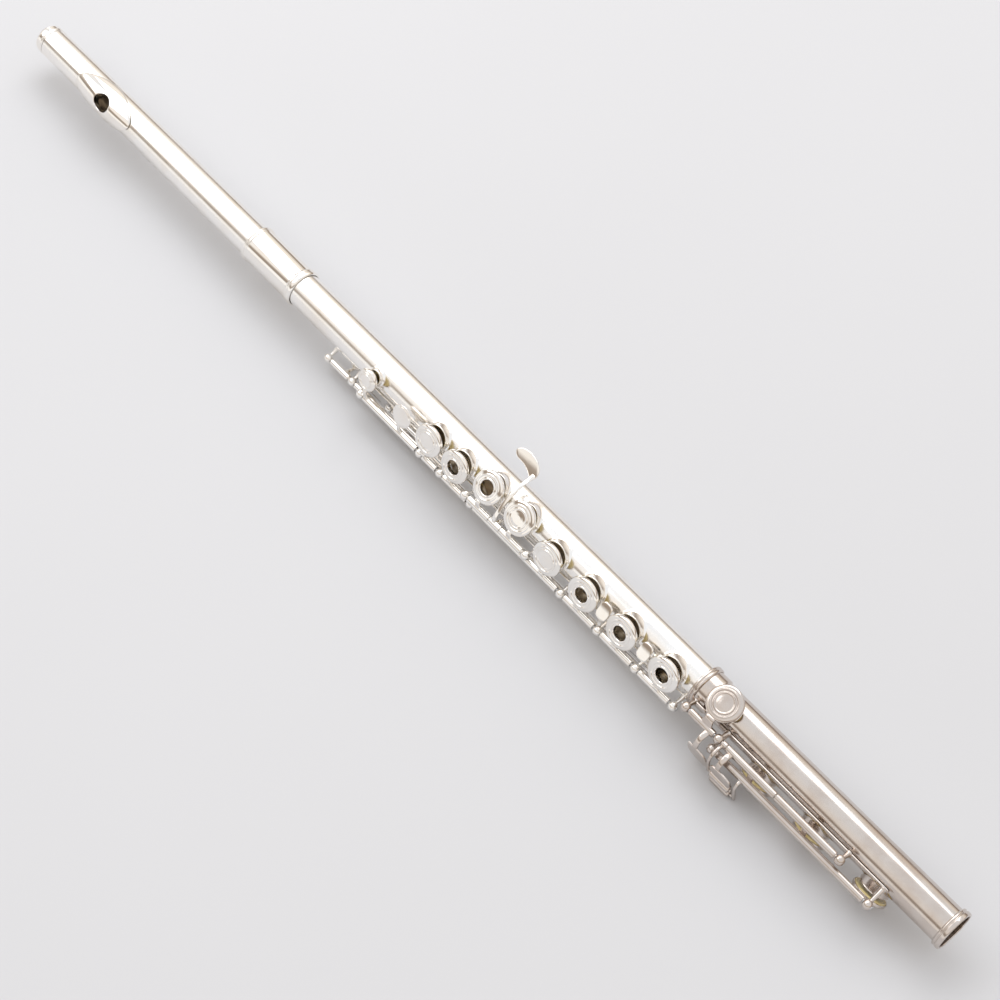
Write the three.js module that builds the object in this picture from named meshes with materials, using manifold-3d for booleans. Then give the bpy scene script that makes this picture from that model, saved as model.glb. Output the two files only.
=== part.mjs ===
// Concert flute with an offset G, ring keys and a B foot.
// Millimetres. x runs along the tube from the crown to the foot, z is up.
// Angles around the tube are measured from the main row of cups, positive toward
// the player's side; a frame turned to such an angle has y pointing away from the
// player and z pointing straight out of the tube.
import * as THREE from 'three';
import { mergeVertices } from 'three/addons/utils/BufferGeometryUtils.js';
import Module from 'manifold-3d';

const wasm = await Module();
wasm.setup();

// ---- driving dimensions ------------------------------------------------------
// Stations along the tube, measured from the centre of the embouchure hole.
const CROWN_END = -70;
const HEAD_TOP = -61.5;
const BARREL_START = 130;
const BARREL_END = 171.5;
const TENON_END = 167;
const BODY_START = 167.5;
const BODY_SHOULDER = 478.6;
const FOOT_START = 479;
const FOOT_TENON_END = 487.4;
const FOOT_END = 641.6;

const BORE_R = 9.5;
const TUBE_R = 9.9;
const CROWN_BORE_R = 8.5;
const TAPER_END = 122;
const RING_R = 11.2;
const GAP = 0.3;

const LIP_ANGLE = -11;
const LIP_START = -26;
const LIP_END = 23;
const LIP_HALF_WIDTH = 12.6;
const LIP_R = 13.4;
const BLOW_HALF_LENGTH = 6;
const BLOW_HALF_WIDTH = 5.1;
const STOPPER_FACE = -17.3;

const RIM = 12.4;
const SMALL_RIM = 11.5;
const CHIMNEY_WALL = 0.5;
const PAD_THICK = 2.2;
const CUP_DEPTH = 3.5;
const CUP_WALL = 0.45;
const FINGER_HOLE_R = 4;

const STEEL_R = 1;
const HINGE_BORE_R = 1.3;
const HINGE_R = 1.9;
const BALL_R = 2.6;

// Hinge lines: distance from the tube axis and angle around it.
const MAIN_LINE = { r: 17.93, a: 51.3 };
const G_LINE = { r: 17.93, a: 33.3 };
const TRILL_LINE = { r: 17.5, a: 74 };
const THUMB_LINE = { r: 18.2, a: 100 };
const FOOT_LINE = { r: 17.93, a: 14.3 };
const LOW_B_LINE = { r: 20.5, a: 33 };

const G_ANGLE = -18;
const G_SHARP_ANGLE = 140;
const TRILL_ANGLE = 118;
const THUMB_ANGLE = 150;
const D_SHARP_ANGLE = -37;
const LOW_ANGLE = 80;
const TOUCH_ANGLE = 45;

// Rest angles of the keys that stand open.
const STACK_OPEN = 10;
const LOW_OPEN = 8;

// Cups: station, radius of the cup and outside radius of the chimney under it.
const C_SHARP = { x: 243, cup: 6.4, hole: 4.4, a: 0 };
const B_FLAT = { x: 292, cup: 9, hole: 7.2, a: 0 };
const A_KEY = { x: 312.5, cup: 9.2, hole: 7.3, a: 0 };
const G_UPPER = { x: 334.5, cup: 9.2, hole: 7.3, a: G_ANGLE };
const G_LOWER = { x: 358, cup: 9.3, hole: 7.4, a: G_ANGLE };
const F_SHARP = { x: 382.5, cup: 9.3, hole: 7.5, a: 0 };
const F_KEY = { x: 408.5, cup: 9.4, hole: 7.5, a: 0 };
const E_KEY = { x: 436, cup: 9.4, hole: 7.6, a: 0 };
const D_KEY = { x: 465.5, cup: 9.4, hole: 7.6, a: 0 };
const G_SHARP = { x: 347, cup: 7.9, hole: 6.4, a: G_SHARP_ANGLE };
const D_SHARP_TRILL = { x: 221, cup: 5.7, hole: 4, a: TRILL_ANGLE };
const D_TRILL = { x: 235, cup: 5.7, hole: 4, a: TRILL_ANGLE };
const THUMB = { x: 266, cup: 8.7, hole: 7, a: THUMB_ANGLE };
const D_SHARP = { x: 497, cup: 9.3, hole: 7.5, a: D_SHARP_ANGLE };
const LOW_C_SHARP = { x: 529, cup: 9.6, hole: 7.9, a: LOW_ANGLE };
const LOW_C = { x: 564, cup: 9.6, hole: 7.9, a: LOW_ANGLE };
const LOW_B = { x: 602, cup: 9.6, hole: 7.9, a: LOW_ANGLE };

// Roll of the whole instrument in its resting place.
const ROLL = 62;

const TUBE_SEGMENTS = 24;
const CUP_SEGMENTS = 14;
const HINGE_SEGMENTS = 8;
const BALL_SEGMENTS = 7;
const CHIMNEY_SEGMENTS = 12;
const PAD_SEGMENTS = 12;

// ---- finishes ----------------------------------------------------------------
const FINISH = {
  silver: { color: 0xe9e4dc, roughness: 0.12, metalness: 1 },
  bright: { color: 0xf1ede6, roughness: 0.08, metalness: 1 },
  steel: { color: 0xb9bcc0, roughness: 0.25, metalness: 1 },
  pad: { color: 0xd9b36a, roughness: 0.75, metalness: 0 },
  cork: { color: 0xb08355, roughness: 0.9, metalness: 0 },
};

// ---- helpers -----------------------------------------------------------------
const rad = THREE.MathUtils.degToRad;

function signedVolume(position, index) {
  const a = new THREE.Vector3();
  const b = new THREE.Vector3();
  const c = new THREE.Vector3();
  let volume = 0;
  for (let i = 0; i < index.length; i += 3) {
    a.fromBufferAttribute(position, index[i]);
    b.fromBufferAttribute(position, index[i + 1]);
    c.fromBufferAttribute(position, index[i + 2]);
    volume += a.dot(b.cross(c)) / 6;
  }
  return volume;
}

function toSolid(geometry) {
  const plain = geometry.clone();
  plain.deleteAttribute('normal');
  plain.deleteAttribute('uv');
  const merged = mergeVertices(plain, 1e-4);
  const all = Array.from(merged.index.array);
  const kept = [];
  for (let i = 0; i < all.length; i += 3) {
    const [p, q, r] = [all[i], all[i + 1], all[i + 2]];
    if (p !== q && q !== r && r !== p) {
      kept.push(p, q, r);
    }
  }
  if (signedVolume(merged.attributes.position, kept) < 0) {
    kept.reverse();
  }
  return new wasm.Manifold(new wasm.Mesh({
    numProp: 3,
    vertProperties: new Float32Array(merged.attributes.position.array),
    triVerts: new Uint32Array(kept),
  }));
}

function toGeometry(solid) {
  const mesh = solid.getMesh();
  const geometry = new THREE.BufferGeometry();
  geometry.setAttribute('position', new THREE.BufferAttribute(new Float32Array(mesh.vertProperties), 3));
  geometry.setIndex(new THREE.BufferAttribute(new Uint32Array(mesh.triVerts), 1));
  return geometry;
}

function fuse(adds, cuts = []) {
  let solid = toSolid(adds[0]);
  for (const piece of adds.slice(1)) {
    solid = solid.add(toSolid(piece));
  }
  for (const piece of cuts) {
    solid = solid.subtract(toSolid(piece));
  }
  return toGeometry(solid);
}

function common(first, second) {
  return toGeometry(toSolid(first).intersect(toSolid(second)));
}

// A turned shape about the x axis; each point is [x, radius].
function turnedX(points, segments = TUBE_SEGMENTS) {
  const profile = points.map(([x, r]) => new THREE.Vector2(r, x));
  if (points[0][1] > 0) {
    profile.push(profile[0].clone());
  }
  return new THREE.LatheGeometry(profile, segments).rotateZ(-Math.PI / 2);
}

// A turned shape about the outward axis of a frame; each point is [radius, height].
function turnedOut(points, segments = CUP_SEGMENTS) {
  const profile = points.map(([r, h]) => new THREE.Vector2(r, h));
  if (points[0][0] > 0) {
    profile.push(profile[0].clone());
  }
  return new THREE.LatheGeometry(profile, segments).rotateX(Math.PI / 2);
}

function bar(x0, x1, r, segments = HINGE_SEGMENTS) {
  return turnedX([[x0, 0], [x0, r], [x1, r], [x1, 0]], segments);
}

function sleeve(x0, x1, outer, inner, segments = HINGE_SEGMENTS) {
  return turnedX([[x0, inner], [x0, outer], [x1, outer], [x1, inner]], segments);
}

function post(from, to, r0, r1, segments = BALL_SEGMENTS) {
  const along = to.clone().sub(from);
  const length = along.length();
  const rod = new THREE.CylinderGeometry(r1, r0, length, segments);
  rod.translate(0, length / 2, 0);
  const turn = new THREE.Quaternion().setFromUnitVectors(new THREE.Vector3(0, 1, 0), along.normalize());
  rod.applyQuaternion(turn);
  return rod.translate(from.x, from.y, from.z);
}

// A flat strip bent along a line of [y, z] points and stretched between two stations.
function strip(points, thickness, x0, x1) {
  const left = [];
  const right = [];
  for (let i = 0; i < points.length; i += 1) {
    const before = points[Math.max(0, i - 1)];
    const after = points[Math.min(points.length - 1, i + 1)];
    const length = Math.hypot(after[0] - before[0], after[1] - before[1]);
    const ny = (-(after[1] - before[1]) / length) * (thickness / 2);
    const nz = ((after[0] - before[0]) / length) * (thickness / 2);
    left.push(new THREE.Vector2(points[i][0] + ny, points[i][1] + nz));
    right.push(new THREE.Vector2(points[i][0] - ny, points[i][1] - nz));
  }
  const shape = new THREE.Shape([...left, ...right.reverse()]);
  const solid = new THREE.ExtrudeGeometry(shape, { depth: x1 - x0, bevelEnabled: false });
  const turn = new THREE.Matrix4().makeBasis(
    new THREE.Vector3(0, 1, 0),
    new THREE.Vector3(0, 0, 1),
    new THREE.Vector3(1, 0, 0),
  );
  return solid.applyMatrix4(turn).translate(x0, 0, 0);
}

// A plate drawn in plan (x, y) and raised between two heights.
function plate(shape, z0, z1, curveSegments = 6) {
  const solid = new THREE.ExtrudeGeometry(shape, { depth: z1 - z0, bevelEnabled: false, curveSegments });
  return solid.translate(0, 0, z0);
}

function turnTo(geometry, angle) {
  return geometry.rotateX(rad(angle));
}

function linePoint(line) {
  return { y: -line.r * Math.sin(rad(line.a)), z: line.r * Math.cos(rad(line.a)) };
}

function lineIn(line, angle) {
  const turned = rad(line.a - angle);
  return [-line.r * Math.sin(turned), line.r * Math.cos(turned)];
}

function onLine(geometry, line) {
  const { y, z } = linePoint(line);
  return geometry.translate(0, y, z);
}

function swing(geometry, line, degrees) {
  const { y, z } = linePoint(line);
  return geometry.translate(0, -y, -z).rotateX(rad(degrees)).translate(0, y, z);
}

// ---- assembly ----------------------------------------------------------------
const flute = new THREE.Group();
flute.name = 'concert_flute';

function addPart(name, geometry, finish) {
  const outward = toGeometry(toSolid(geometry));
  const mesh = new THREE.Mesh(outward, new THREE.MeshStandardMaterial(FINISH[finish]));
  mesh.name = name;
  flute.add(mesh);
  return mesh;
}

// ---- head joint --------------------------------------------------------------
function headBore(x) {
  const t = THREE.MathUtils.clamp((TAPER_END - x) / (TAPER_END - HEAD_TOP), 0, 1);
  return BORE_R - (BORE_R - CROWN_BORE_R) * (1 - Math.sqrt(1 - 0.75 * t * t)) * 2;
}

function oval(halfLength, halfWidth, z0, z1, segments = 14) {
  const shape = new THREE.Shape();
  shape.absellipse(0, 0, halfLength, halfWidth, 0, 2 * Math.PI, false, 0);
  return plate(shape, z0, z1, segments);
}

function headTube() {
  const outside = [];
  const inside = [];
  const stations = 4;
  for (let i = 0; i <= stations; i += 1) {
    const x = HEAD_TOP + ((TAPER_END - HEAD_TOP) * i) / stations;
    outside.push([x, headBore(x) + 0.4]);
    inside.push([x, headBore(x)]);
  }
  const profile = [
    ...outside,
    [BARREL_START - 1.5, TUBE_R],
    [BARREL_START - 0.8, TUBE_R - 0.15],
    [TENON_END, TUBE_R - 0.15],
    [TENON_END, BORE_R],
    ...inside.reverse(),
  ];
  const hole = turnTo(oval(BLOW_HALF_LENGTH, BLOW_HALF_WIDTH, 4, 14), LIP_ANGLE);
  return fuse([turnedX(profile)], [hole]);
}

// The plate follows the tube around and dips toward it at both ends.
function lipHeight(x) {
  const middle = (LIP_START + LIP_END) / 2;
  const t = (x - middle) / ((LIP_END - LIP_START) / 2);
  return LIP_R - 2.5 * t * t;
}

function lipShell(lift, drop) {
  const outside = [];
  const inside = [];
  const steps = 6;
  for (let i = 0; i <= steps; i += 1) {
    const x = LIP_START - 0.5 + ((LIP_END - LIP_START + 1) * i) / steps;
    outside.push([x, lipHeight(x) + lift]);
    inside.push([x, lipHeight(x) + drop]);
  }
  return turnedX([...outside, ...inside.reverse()], 28);
}

function lipPlate() {
  const middle = (LIP_START + LIP_END) / 2;
  const halfLength = (LIP_END - LIP_START) / 2;
  const outline = oval(halfLength, LIP_HALF_WIDTH, 3, 20, 22).translate(middle, 0, 0);
  const shell = common(lipShell(0, -0.9), outline);
  const hole = oval(BLOW_HALF_LENGTH, BLOW_HALF_WIDTH, 4, 20);
  return turnTo(fuse([shell], [hole]), LIP_ANGLE);
}

function lipRiser() {
  const block = fuse(
    [oval(BLOW_HALF_LENGTH + 1.4, BLOW_HALF_WIDTH + 1.4, 6, 20)],
    [oval(BLOW_HALF_LENGTH, BLOW_HALF_WIDTH, 5, 21), bar(-20, 20, headBore(-8) + 0.4 + GAP, TUBE_SEGMENTS)],
  );
  const under = lipShell(-0.9 - GAP, -9);
  return turnTo(common(block, under), LIP_ANGLE);
}

function crown() {
  const rim = headBore(HEAD_TOP) + 0.5;
  const profile = [
    [CROWN_END, 0],
    [CROWN_END + 0.2, rim * 0.35],
    [CROWN_END + 0.9, rim * 0.66],
    [CROWN_END + 2.2, rim * 0.9],
    [CROWN_END + 3.6, rim],
    [HEAD_TOP - 1.6, rim],
    [HEAD_TOP - 1.3, rim - 0.4],
    [HEAD_TOP - 0.9, rim],
    [HEAD_TOP - GAP, rim],
    [HEAD_TOP - GAP, 7.6],
    [HEAD_TOP + 5, 7.6],
    [HEAD_TOP + 5, 2],
    [HEAD_TOP - 5, 2],
    [HEAD_TOP - 5, 0],
  ];
  return turnedX(profile, 20);
}

function stopperScrew() {
  const end = STOPPER_FACE;
  const plateR = headBore(end) - 0.35;
  const profile = [
    [HEAD_TOP - 4.4, 0],
    [HEAD_TOP - 4.4, 1.7],
    [end - 1.2, 1.7],
    [end - 1.2, plateR],
    [end, plateR],
    [end, 0],
  ];
  return turnedX(profile, 16);
}

function stopperCork() {
  const end = STOPPER_FACE - 1.5;
  return sleeve(end - 13, end, headBore(end - 13) - 0.3, 2, 16);
}

function stopperNut() {
  const end = STOPPER_FACE - 1.5 - 13 - GAP;
  return sleeve(end - 2.4, end, headBore(end - 3) - 0.5, 2, 16);
}

// ---- tubes, chimneys and rings -----------------------------------------------
function chimneyOutside(hole, rim) {
  const top = turnedOut([[0, 5], [hole.hole, 5], [hole.hole, rim], [0, rim]], CHIMNEY_SEGMENTS);
  return turnTo(top.translate(hole.x, 0, 0), hole.a);
}

function chimneyInside(hole, rim) {
  const r = hole.hole - CHIMNEY_WALL;
  const cut = turnedOut([[0, 2], [r, 2], [r, rim + 1], [0, rim + 1]], CHIMNEY_SEGMENTS);
  return turnTo(cut.translate(hole.x, 0, 0), hole.a);
}

function boredTube(outside, inside, holes) {
  const outer = fuse([outside, ...holes.map(([hole, rim]) => chimneyOutside(hole, rim))]);
  const inner = fuse([inside, ...holes.map(([hole, rim]) => chimneyInside(hole, rim))]);
  return fuse([outer], [inner]);
}

const BODY_HOLES = [
  [D_SHARP_TRILL, SMALL_RIM],
  [D_TRILL, SMALL_RIM],
  [C_SHARP, RIM],
  [THUMB, RIM],
  [B_FLAT, RIM],
  [A_KEY, RIM],
  [G_UPPER, RIM],
  [G_LOWER, RIM],
  [G_SHARP, RIM],
  [F_SHARP, RIM],
  [F_KEY, RIM],
  [E_KEY, RIM],
  [D_KEY, RIM],
];

const FOOT_HOLES = [
  [D_SHARP, RIM],
  [LOW_C_SHARP, RIM],
  [LOW_C, RIM],
  [LOW_B, RIM],
];

function bodyTube() {
  const outside = turnedX([
    [BODY_START, 0],
    [BODY_START, TUBE_R - 0.1],
    [BARREL_END + 0.4, TUBE_R - 0.1],
    [BARREL_END + 0.8, TUBE_R],
    [BODY_SHOULDER - 0.6, TUBE_R],
    [BODY_SHOULDER, TUBE_R - 0.1],
    [FOOT_TENON_END, TUBE_R - 0.1],
    [FOOT_TENON_END, 0],
  ]);
  const inside = bar(BODY_START - 2, FOOT_TENON_END + 2, BORE_R, TUBE_SEGMENTS);
  return boredTube(outside, inside, BODY_HOLES);
}

function barrel() {
  return turnedX([
    [BARREL_START, 10.1],
    [BARREL_START, 10.7],
    [BARREL_START + 0.4, RING_R - 0.1],
    [BARREL_START + 2.2, RING_R - 0.1],
    [BARREL_START + 2.8, 10.65],
    [BARREL_END - 4.4, 10.65],
    [BARREL_END - 3.8, RING_R - 0.1],
    [BARREL_END - 1.2, RING_R - 0.1],
    [BARREL_END, 10.4],
    [BARREL_END, 10.1],
  ]);
}

function footTube() {
  const outside = turnedX([
    [FOOT_START, 0],
    [FOOT_START, 10.5],
    [FOOT_TENON_END + 1.2, 10.5],
    [FOOT_TENON_END + 2, TUBE_R],
    [FOOT_END - 0.4, TUBE_R],
    [FOOT_END - 0.4, 0],
  ]);
  const inside = turnedX([
    [FOOT_START - 2, 0],
    [FOOT_START - 2, 10.1],
    [FOOT_TENON_END + 0.5, 10.1],
    [FOOT_TENON_END + 0.5, BORE_R],
    [FOOT_END + 2, BORE_R],
    [FOOT_END + 2, 0],
  ]);
  return boredTube(outside, inside, FOOT_HOLES);
}

function footReceiverRing() {
  return turnedX([
    [FOOT_START - 0.2, 10.8],
    [FOOT_START - 0.2, RING_R],
    [FOOT_START + 0.4, RING_R + 0.4],
    [FOOT_START + 2.6, RING_R + 0.4],
    [FOOT_START + 3.4, 10.8],
  ]);
}

function footBellRing() {
  return turnedX([
    [FOOT_END - 4.4, 10.2],
    [FOOT_END - 4.4, 10.5],
    [FOOT_END - 3.8, RING_R],
    [FOOT_END - 0.5, RING_R],
    [FOOT_END, RING_R - 0.3],
    [FOOT_END, 10.2],
  ]);
}

// ---- ribs and posts ----------------------------------------------------------
function rib(x0, x1, angle, halfWidth, inner = TUBE_R + GAP) {
  const shape = new THREE.Shape();
  const half = halfWidth / TUBE_R;
  shape.absarc(0, 0, inner, Math.PI / 2 - half, Math.PI / 2 + half, false);
  shape.absarc(0, 0, inner + 0.8, Math.PI / 2 + half, Math.PI / 2 - half, true);
  const solid = new THREE.ExtrudeGeometry(shape, { depth: x1 - x0, bevelEnabled: false, curveSegments: 3 });
  const turn = new THREE.Matrix4().makeBasis(
    new THREE.Vector3(0, 1, 0),
    new THREE.Vector3(0, 0, 1),
    new THREE.Vector3(1, 0, 0),
  );
  return turnTo(solid.applyMatrix4(turn).translate(x0, 0, 0), angle);
}

// One pivot post: a tapered stem from the rib and a drilled ball on the hinge line.
function pivotPost(x, ribAngle, line, stem = 1.4) {
  const foot = { r: TUBE_R + GAP + 0.7, a: ribAngle };
  const base = linePoint(foot);
  const top = linePoint(line);
  const from = new THREE.Vector3(x, base.y, base.z);
  const centre = new THREE.Vector3(x, top.y, top.z);
  const to = centre.clone().lerp(from, 1.7 / centre.distanceTo(from));
  const ball = [];
  const lowest = Math.asin(HINGE_BORE_R / BALL_R);
  const steps = 3;
  for (let i = 0; i <= steps; i += 1) {
    const t = lowest + ((Math.PI - 2 * lowest) * i) / steps;
    ball.push([x - BALL_R * Math.cos(t), BALL_R * Math.sin(t)]);
  }
  return [post(from, to, stem, 1.05, 6), onLine(turnedX(ball, BALL_SEGMENTS), line)];
}

const MAIN_RIB_ANGLE = 62;
const BACK_RIB_ANGLE = 84;
const FOOT_RIB_ANGLE = 19.3;
const MAIN_POSTS = [240, 288, 304, 328, 396, 423, 450, 476.5];
const G_POSTS = [324.6, 370.6];
const TRILL_POSTS = [208, 228, 427, 457.5];
const THUMB_POSTS = [251, 298];
const FOOT_POSTS = [484, 506, 585];
const LOW_B_POSTS = [506, 607];

function mainRib() {
  const posts = MAIN_POSTS.flatMap((x) => pivotPost(x, MAIN_RIB_ANGLE, MAIN_LINE));
  const gPosts = G_POSTS.flatMap((x) => pivotPost(x, MAIN_RIB_ANGLE - 5, G_LINE, 1.1));
  return fuse([rib(236.5, 478, MAIN_RIB_ANGLE, 1.6), ...posts, ...gPosts]);
}

function backRib() {
  const trill = TRILL_POSTS.flatMap((x) => pivotPost(x, BACK_RIB_ANGLE, TRILL_LINE));
  const thumb = THUMB_POSTS.flatMap((x) => pivotPost(x, BACK_RIB_ANGLE + 2, THUMB_LINE));
  return fuse([rib(205.5, 460, BACK_RIB_ANGLE, 1.5), ...trill, ...thumb]);
}

function footRib() {
  const first = FOOT_POSTS.flatMap((x) => pivotPost(x, FOOT_RIB_ANGLE, FOOT_LINE));
  const second = LOW_B_POSTS.flatMap((x) => pivotPost(x, FOOT_RIB_ANGLE + 2, LOW_B_LINE));
  const onReceiver = rib(482.8, 491.5, FOOT_RIB_ANGLE, 1.15, 10.5 + GAP);
  return fuse([rib(489.9, 609.5, FOOT_RIB_ANGLE, 1.15), onReceiver, ...first, ...second]);
}


// ---- keys --------------------------------------------------------------------
// Every key is drawn closed, then swung about its hinge line to where it rests.
function ringCup(cup, rim) {
  const r = cup.cup;
  const top = rim + CUP_DEPTH;
  const under = rim + GAP + PAD_THICK + GAP;
  const shape = turnedOut([
    [FINGER_HOLE_R, rim + 0.8],
    [FINGER_HOLE_R, top],
    [r - 0.6, top],
    [r, top - 0.7],
    [r, rim + 0.9],
    [r - CUP_WALL, rim + 0.9],
    [r - CUP_WALL, under],
    [FINGER_HOLE_R + 0.45, under],
    [FINGER_HOLE_R + 0.45, rim + 0.8],
  ]);
  return turnTo(shape.translate(cup.x, 0, 0), cup.a);
}

function plainCup(cup, rim) {
  const r = cup.cup;
  const top = rim + CUP_DEPTH;
  const under = rim + GAP + PAD_THICK + GAP;
  const shape = turnedOut([
    [0, top + 0.2],
    [r * 0.56, top + 0.2],
    [r * 0.6, top - 0.1],
    [r - 0.6, top - 0.1],
    [r, top - 0.7],
    [r, rim + 0.9],
    [r - CUP_WALL, rim + 0.9],
    [r - CUP_WALL, under],
    [0, under],
  ]);
  return turnTo(shape.translate(cup.x, 0, 0), cup.a);
}

function padRing(cup, rim) {
  const shape = turnedOut([
    [FINGER_HOLE_R + 0.8, rim + GAP],
    [cup.cup - 0.8, rim + GAP],
    [cup.cup - 0.8, rim + GAP + PAD_THICK],
    [FINGER_HOLE_R + 0.8, rim + GAP + PAD_THICK],
  ], PAD_SEGMENTS);
  return turnTo(shape.translate(cup.x, 0, 0), cup.a);
}

function padDisc(cup, rim) {
  const shape = turnedOut([
    [0, rim + GAP],
    [cup.cup - 0.8, rim + GAP],
    [cup.cup - 0.8, rim + GAP + PAD_THICK],
    [0, rim + GAP + PAD_THICK],
  ], PAD_SEGMENTS);
  return turnTo(shape.translate(cup.x, 0, 0), cup.a);
}

// The first point of an arm sits inside the wall of its hinge tube.
function fromHinge(hinge, next) {
  const length = Math.hypot(next[0] - hinge[0], next[1] - hinge[1]);
  const t = 1.55 / length;
  return [hinge[0] + (next[0] - hinge[0]) * t, hinge[1] + (next[1] - hinge[1]) * t];
}

function arm(line, angle, points, thickness, x0, x1) {
  const hinge = lineIn(line, angle);
  return turnTo(strip([fromHinge(hinge, points[0]), ...points], thickness, x0, x1), angle);
}

function cupArm(line, cup, rim, x0, x1) {
  const hinge = lineIn(line, cup.a);
  const side = Math.sign(hinge[0]);
  return arm(line, cup.a, [[side * (cup.cup - 0.28), rim + 2.25]], 1.7, x0, x1);
}

// A tapered point that runs over a closed cup to its centre.
function pointedArm(line, cup, rim, halfWidth) {
  const hinge = lineIn(line, cup.a);
  const side = Math.sign(hinge[0]);
  const edge = cup.cup + 1.2;
  const shape = new THREE.Shape();
  shape.moveTo(-halfWidth, side * edge);
  shape.quadraticCurveTo(-halfWidth, side * cup.cup * 0.55, -0.35, side * 0.6);
  shape.lineTo(0.35, side * 0.6);
  shape.quadraticCurveTo(halfWidth, side * cup.cup * 0.55, halfWidth, side * edge);
  const top = rim + CUP_DEPTH;
  const point = plate(shape, top - 0.4, top + 0.9, 4);
  return turnTo(point.translate(cup.x, 0, 0), cup.a);
}

function tubeOn(line, x0, x1) {
  return onLine(sleeve(x0, x1, HINGE_R, HINGE_BORE_R), line);
}

function barOn(line, x0, x1, r) {
  return onLine(bar(x0, x1, r), line);
}

function roundedPlate(x0, x1, y0, y1, corner) {
  const shape = new THREE.Shape();
  shape.absarc(x1 - corner, y1 - corner, corner, 0, Math.PI / 2);
  shape.absarc(x0 + corner, y1 - corner, corner, Math.PI / 2, Math.PI);
  shape.absarc(x0 + corner, y0 + corner, corner, Math.PI, 1.5 * Math.PI);
  shape.absarc(x1 - corner, y0 + corner, corner, 1.5 * Math.PI, 2 * Math.PI);
  return shape;
}

function stackKey(line, cup, tube, style) {
  const cupShape = style === 'ring' ? ringCup(cup, RIM) : plainCup(cup, RIM);
  const pieces = [tubeOn(line, tube[0], tube[1]), cupArm(line, cup, RIM, cup.x - 1.5, cup.x + 1.5), cupShape];
  if (style === 'pointed') {
    pieces.push(pointedArm(line, cup, RIM, 1.9));
  }
  return swing(fuse(pieces), line, STACK_OPEN);
}

function cSharpKey() {
  const touch = turnedOut([[0, 16.5], [3.5, 16.3], [6.2, 15.9], [6.6, 15.5], [6.2, 15.1], [0, 15.1]], 14);
  const pieces = [
    tubeOn(MAIN_LINE, 242.9, 285.1),
    cupArm(MAIN_LINE, C_SHARP, RIM, 243.2, 245.6),
    plainCup(C_SHARP, RIM),
    arm(MAIN_LINE, 0, [[-8.5, 14.6], [-3, 15.6]], 1.5, 270.8, 273.2),
    touch.translate(272, 0, 0),
  ];
  return swing(fuse(pieces), MAIN_LINE, STACK_OPEN);
}

// The two G cups share one pinned axle; the G sharp hinge rides on it between them.
function gKey() {
  const pieces = [
    barOn(G_LINE, 322.6, 372.6, STEEL_R),
    barOn(G_LINE, 327.5, 343.2, HINGE_R),
    barOn(G_LINE, 351.8, 367.7, HINGE_R),
    cupArm(G_LINE, G_UPPER, RIM, 333, 336),
    ringCup(G_UPPER, RIM),
    cupArm(G_LINE, G_LOWER, RIM, 356.5, 359.5),
    plainCup(G_LOWER, RIM),
    pointedArm(G_LINE, G_LOWER, RIM, 1.9),
  ];
  return swing(fuse(pieces), G_LINE, STACK_OPEN);
}

function spoonShape() {
  const shape = new THREE.Shape();
  shape.moveTo(347.4, 14.6);
  shape.quadraticCurveTo(348.6, 21.5, 342.5, 24.4);
  shape.quadraticCurveTo(334, 26.4, 330.2, 22.8);
  shape.quadraticCurveTo(328.6, 19.2, 332.5, 18.4);
  shape.quadraticCurveTo(341, 19.2, 345, 14.6);
  return shape;
}

function gSharpKey() {
  const reach = [];
  for (let angle = 42; angle <= 98; angle += 8) {
    reach.push([-13.2 * Math.sin(rad(angle)), 13.2 * Math.cos(rad(angle))]);
  }
  const edge = G_SHARP.cup + 0.15;
  const end = rad(G_SHARP_ANGLE) - Math.atan2(edge, RIM + 2.7);
  const far = Math.hypot(edge, RIM + 2.7);
  reach.push([-far * Math.sin(end), far * Math.cos(end)]);
  const over = [[-11, 13.9], [-5, 15.2], [4, 15], [10, 13], [14.5, 9.8], [17.5, 7.7]];
  return fuse([
    tubeOn(G_LINE, 343.5, 351.5),
    arm(G_LINE, G_ANGLE, over, 1.4, 345, 347.4),
    turnTo(plate(spoonShape(), 7.1, 8.3), G_ANGLE),
    arm(G_LINE, 0, reach, 1.4, 346, 348.6),
    plainCup(G_SHARP, RIM),
  ]);
}

// A trill arm dives under the main hinge tubes and comes up between two cups.
function trillArm(x0, x1) {
  const points = [];
  for (let angle = 62; angle >= 22; angle -= 10) {
    points.push([-13.2 * Math.sin(rad(angle)), 13.2 * Math.cos(rad(angle))]);
  }
  points.push([-3, 15.3]);
  return arm(TRILL_LINE, 0, points, 1.4, x0, x1);
}

function dTrillKey() {
  return fuse([
    tubeOn(TRILL_LINE, 230.9, 424.1),
    cupArm(TRILL_LINE, D_TRILL, SMALL_RIM, 234, 236.2),
    plainCup(D_TRILL, SMALL_RIM),
    trillArm(418.6, 420.8),
    plate(roundedPlate(418.6, 425.6, -5, 4.6, 2), 15, 16.2, 3),
  ]);
}

function dSharpTrillKey() {
  return fuse([
    barOn(TRILL_LINE, 206.4, 459.2, STEEL_R),
    barOn(TRILL_LINE, 210.9, 225.1, HINGE_R),
    barOn(TRILL_LINE, 429.9, 454.6, HINGE_R),
    cupArm(TRILL_LINE, D_SHARP_TRILL, SMALL_RIM, 220, 222.2),
    plainCup(D_SHARP_TRILL, SMALL_RIM),
    trillArm(452.2, 454.4),
    plate(roundedPlate(447.4, 454.4, -5, 4.6, 2), 15, 16.2, 3),
  ]);
}

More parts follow.
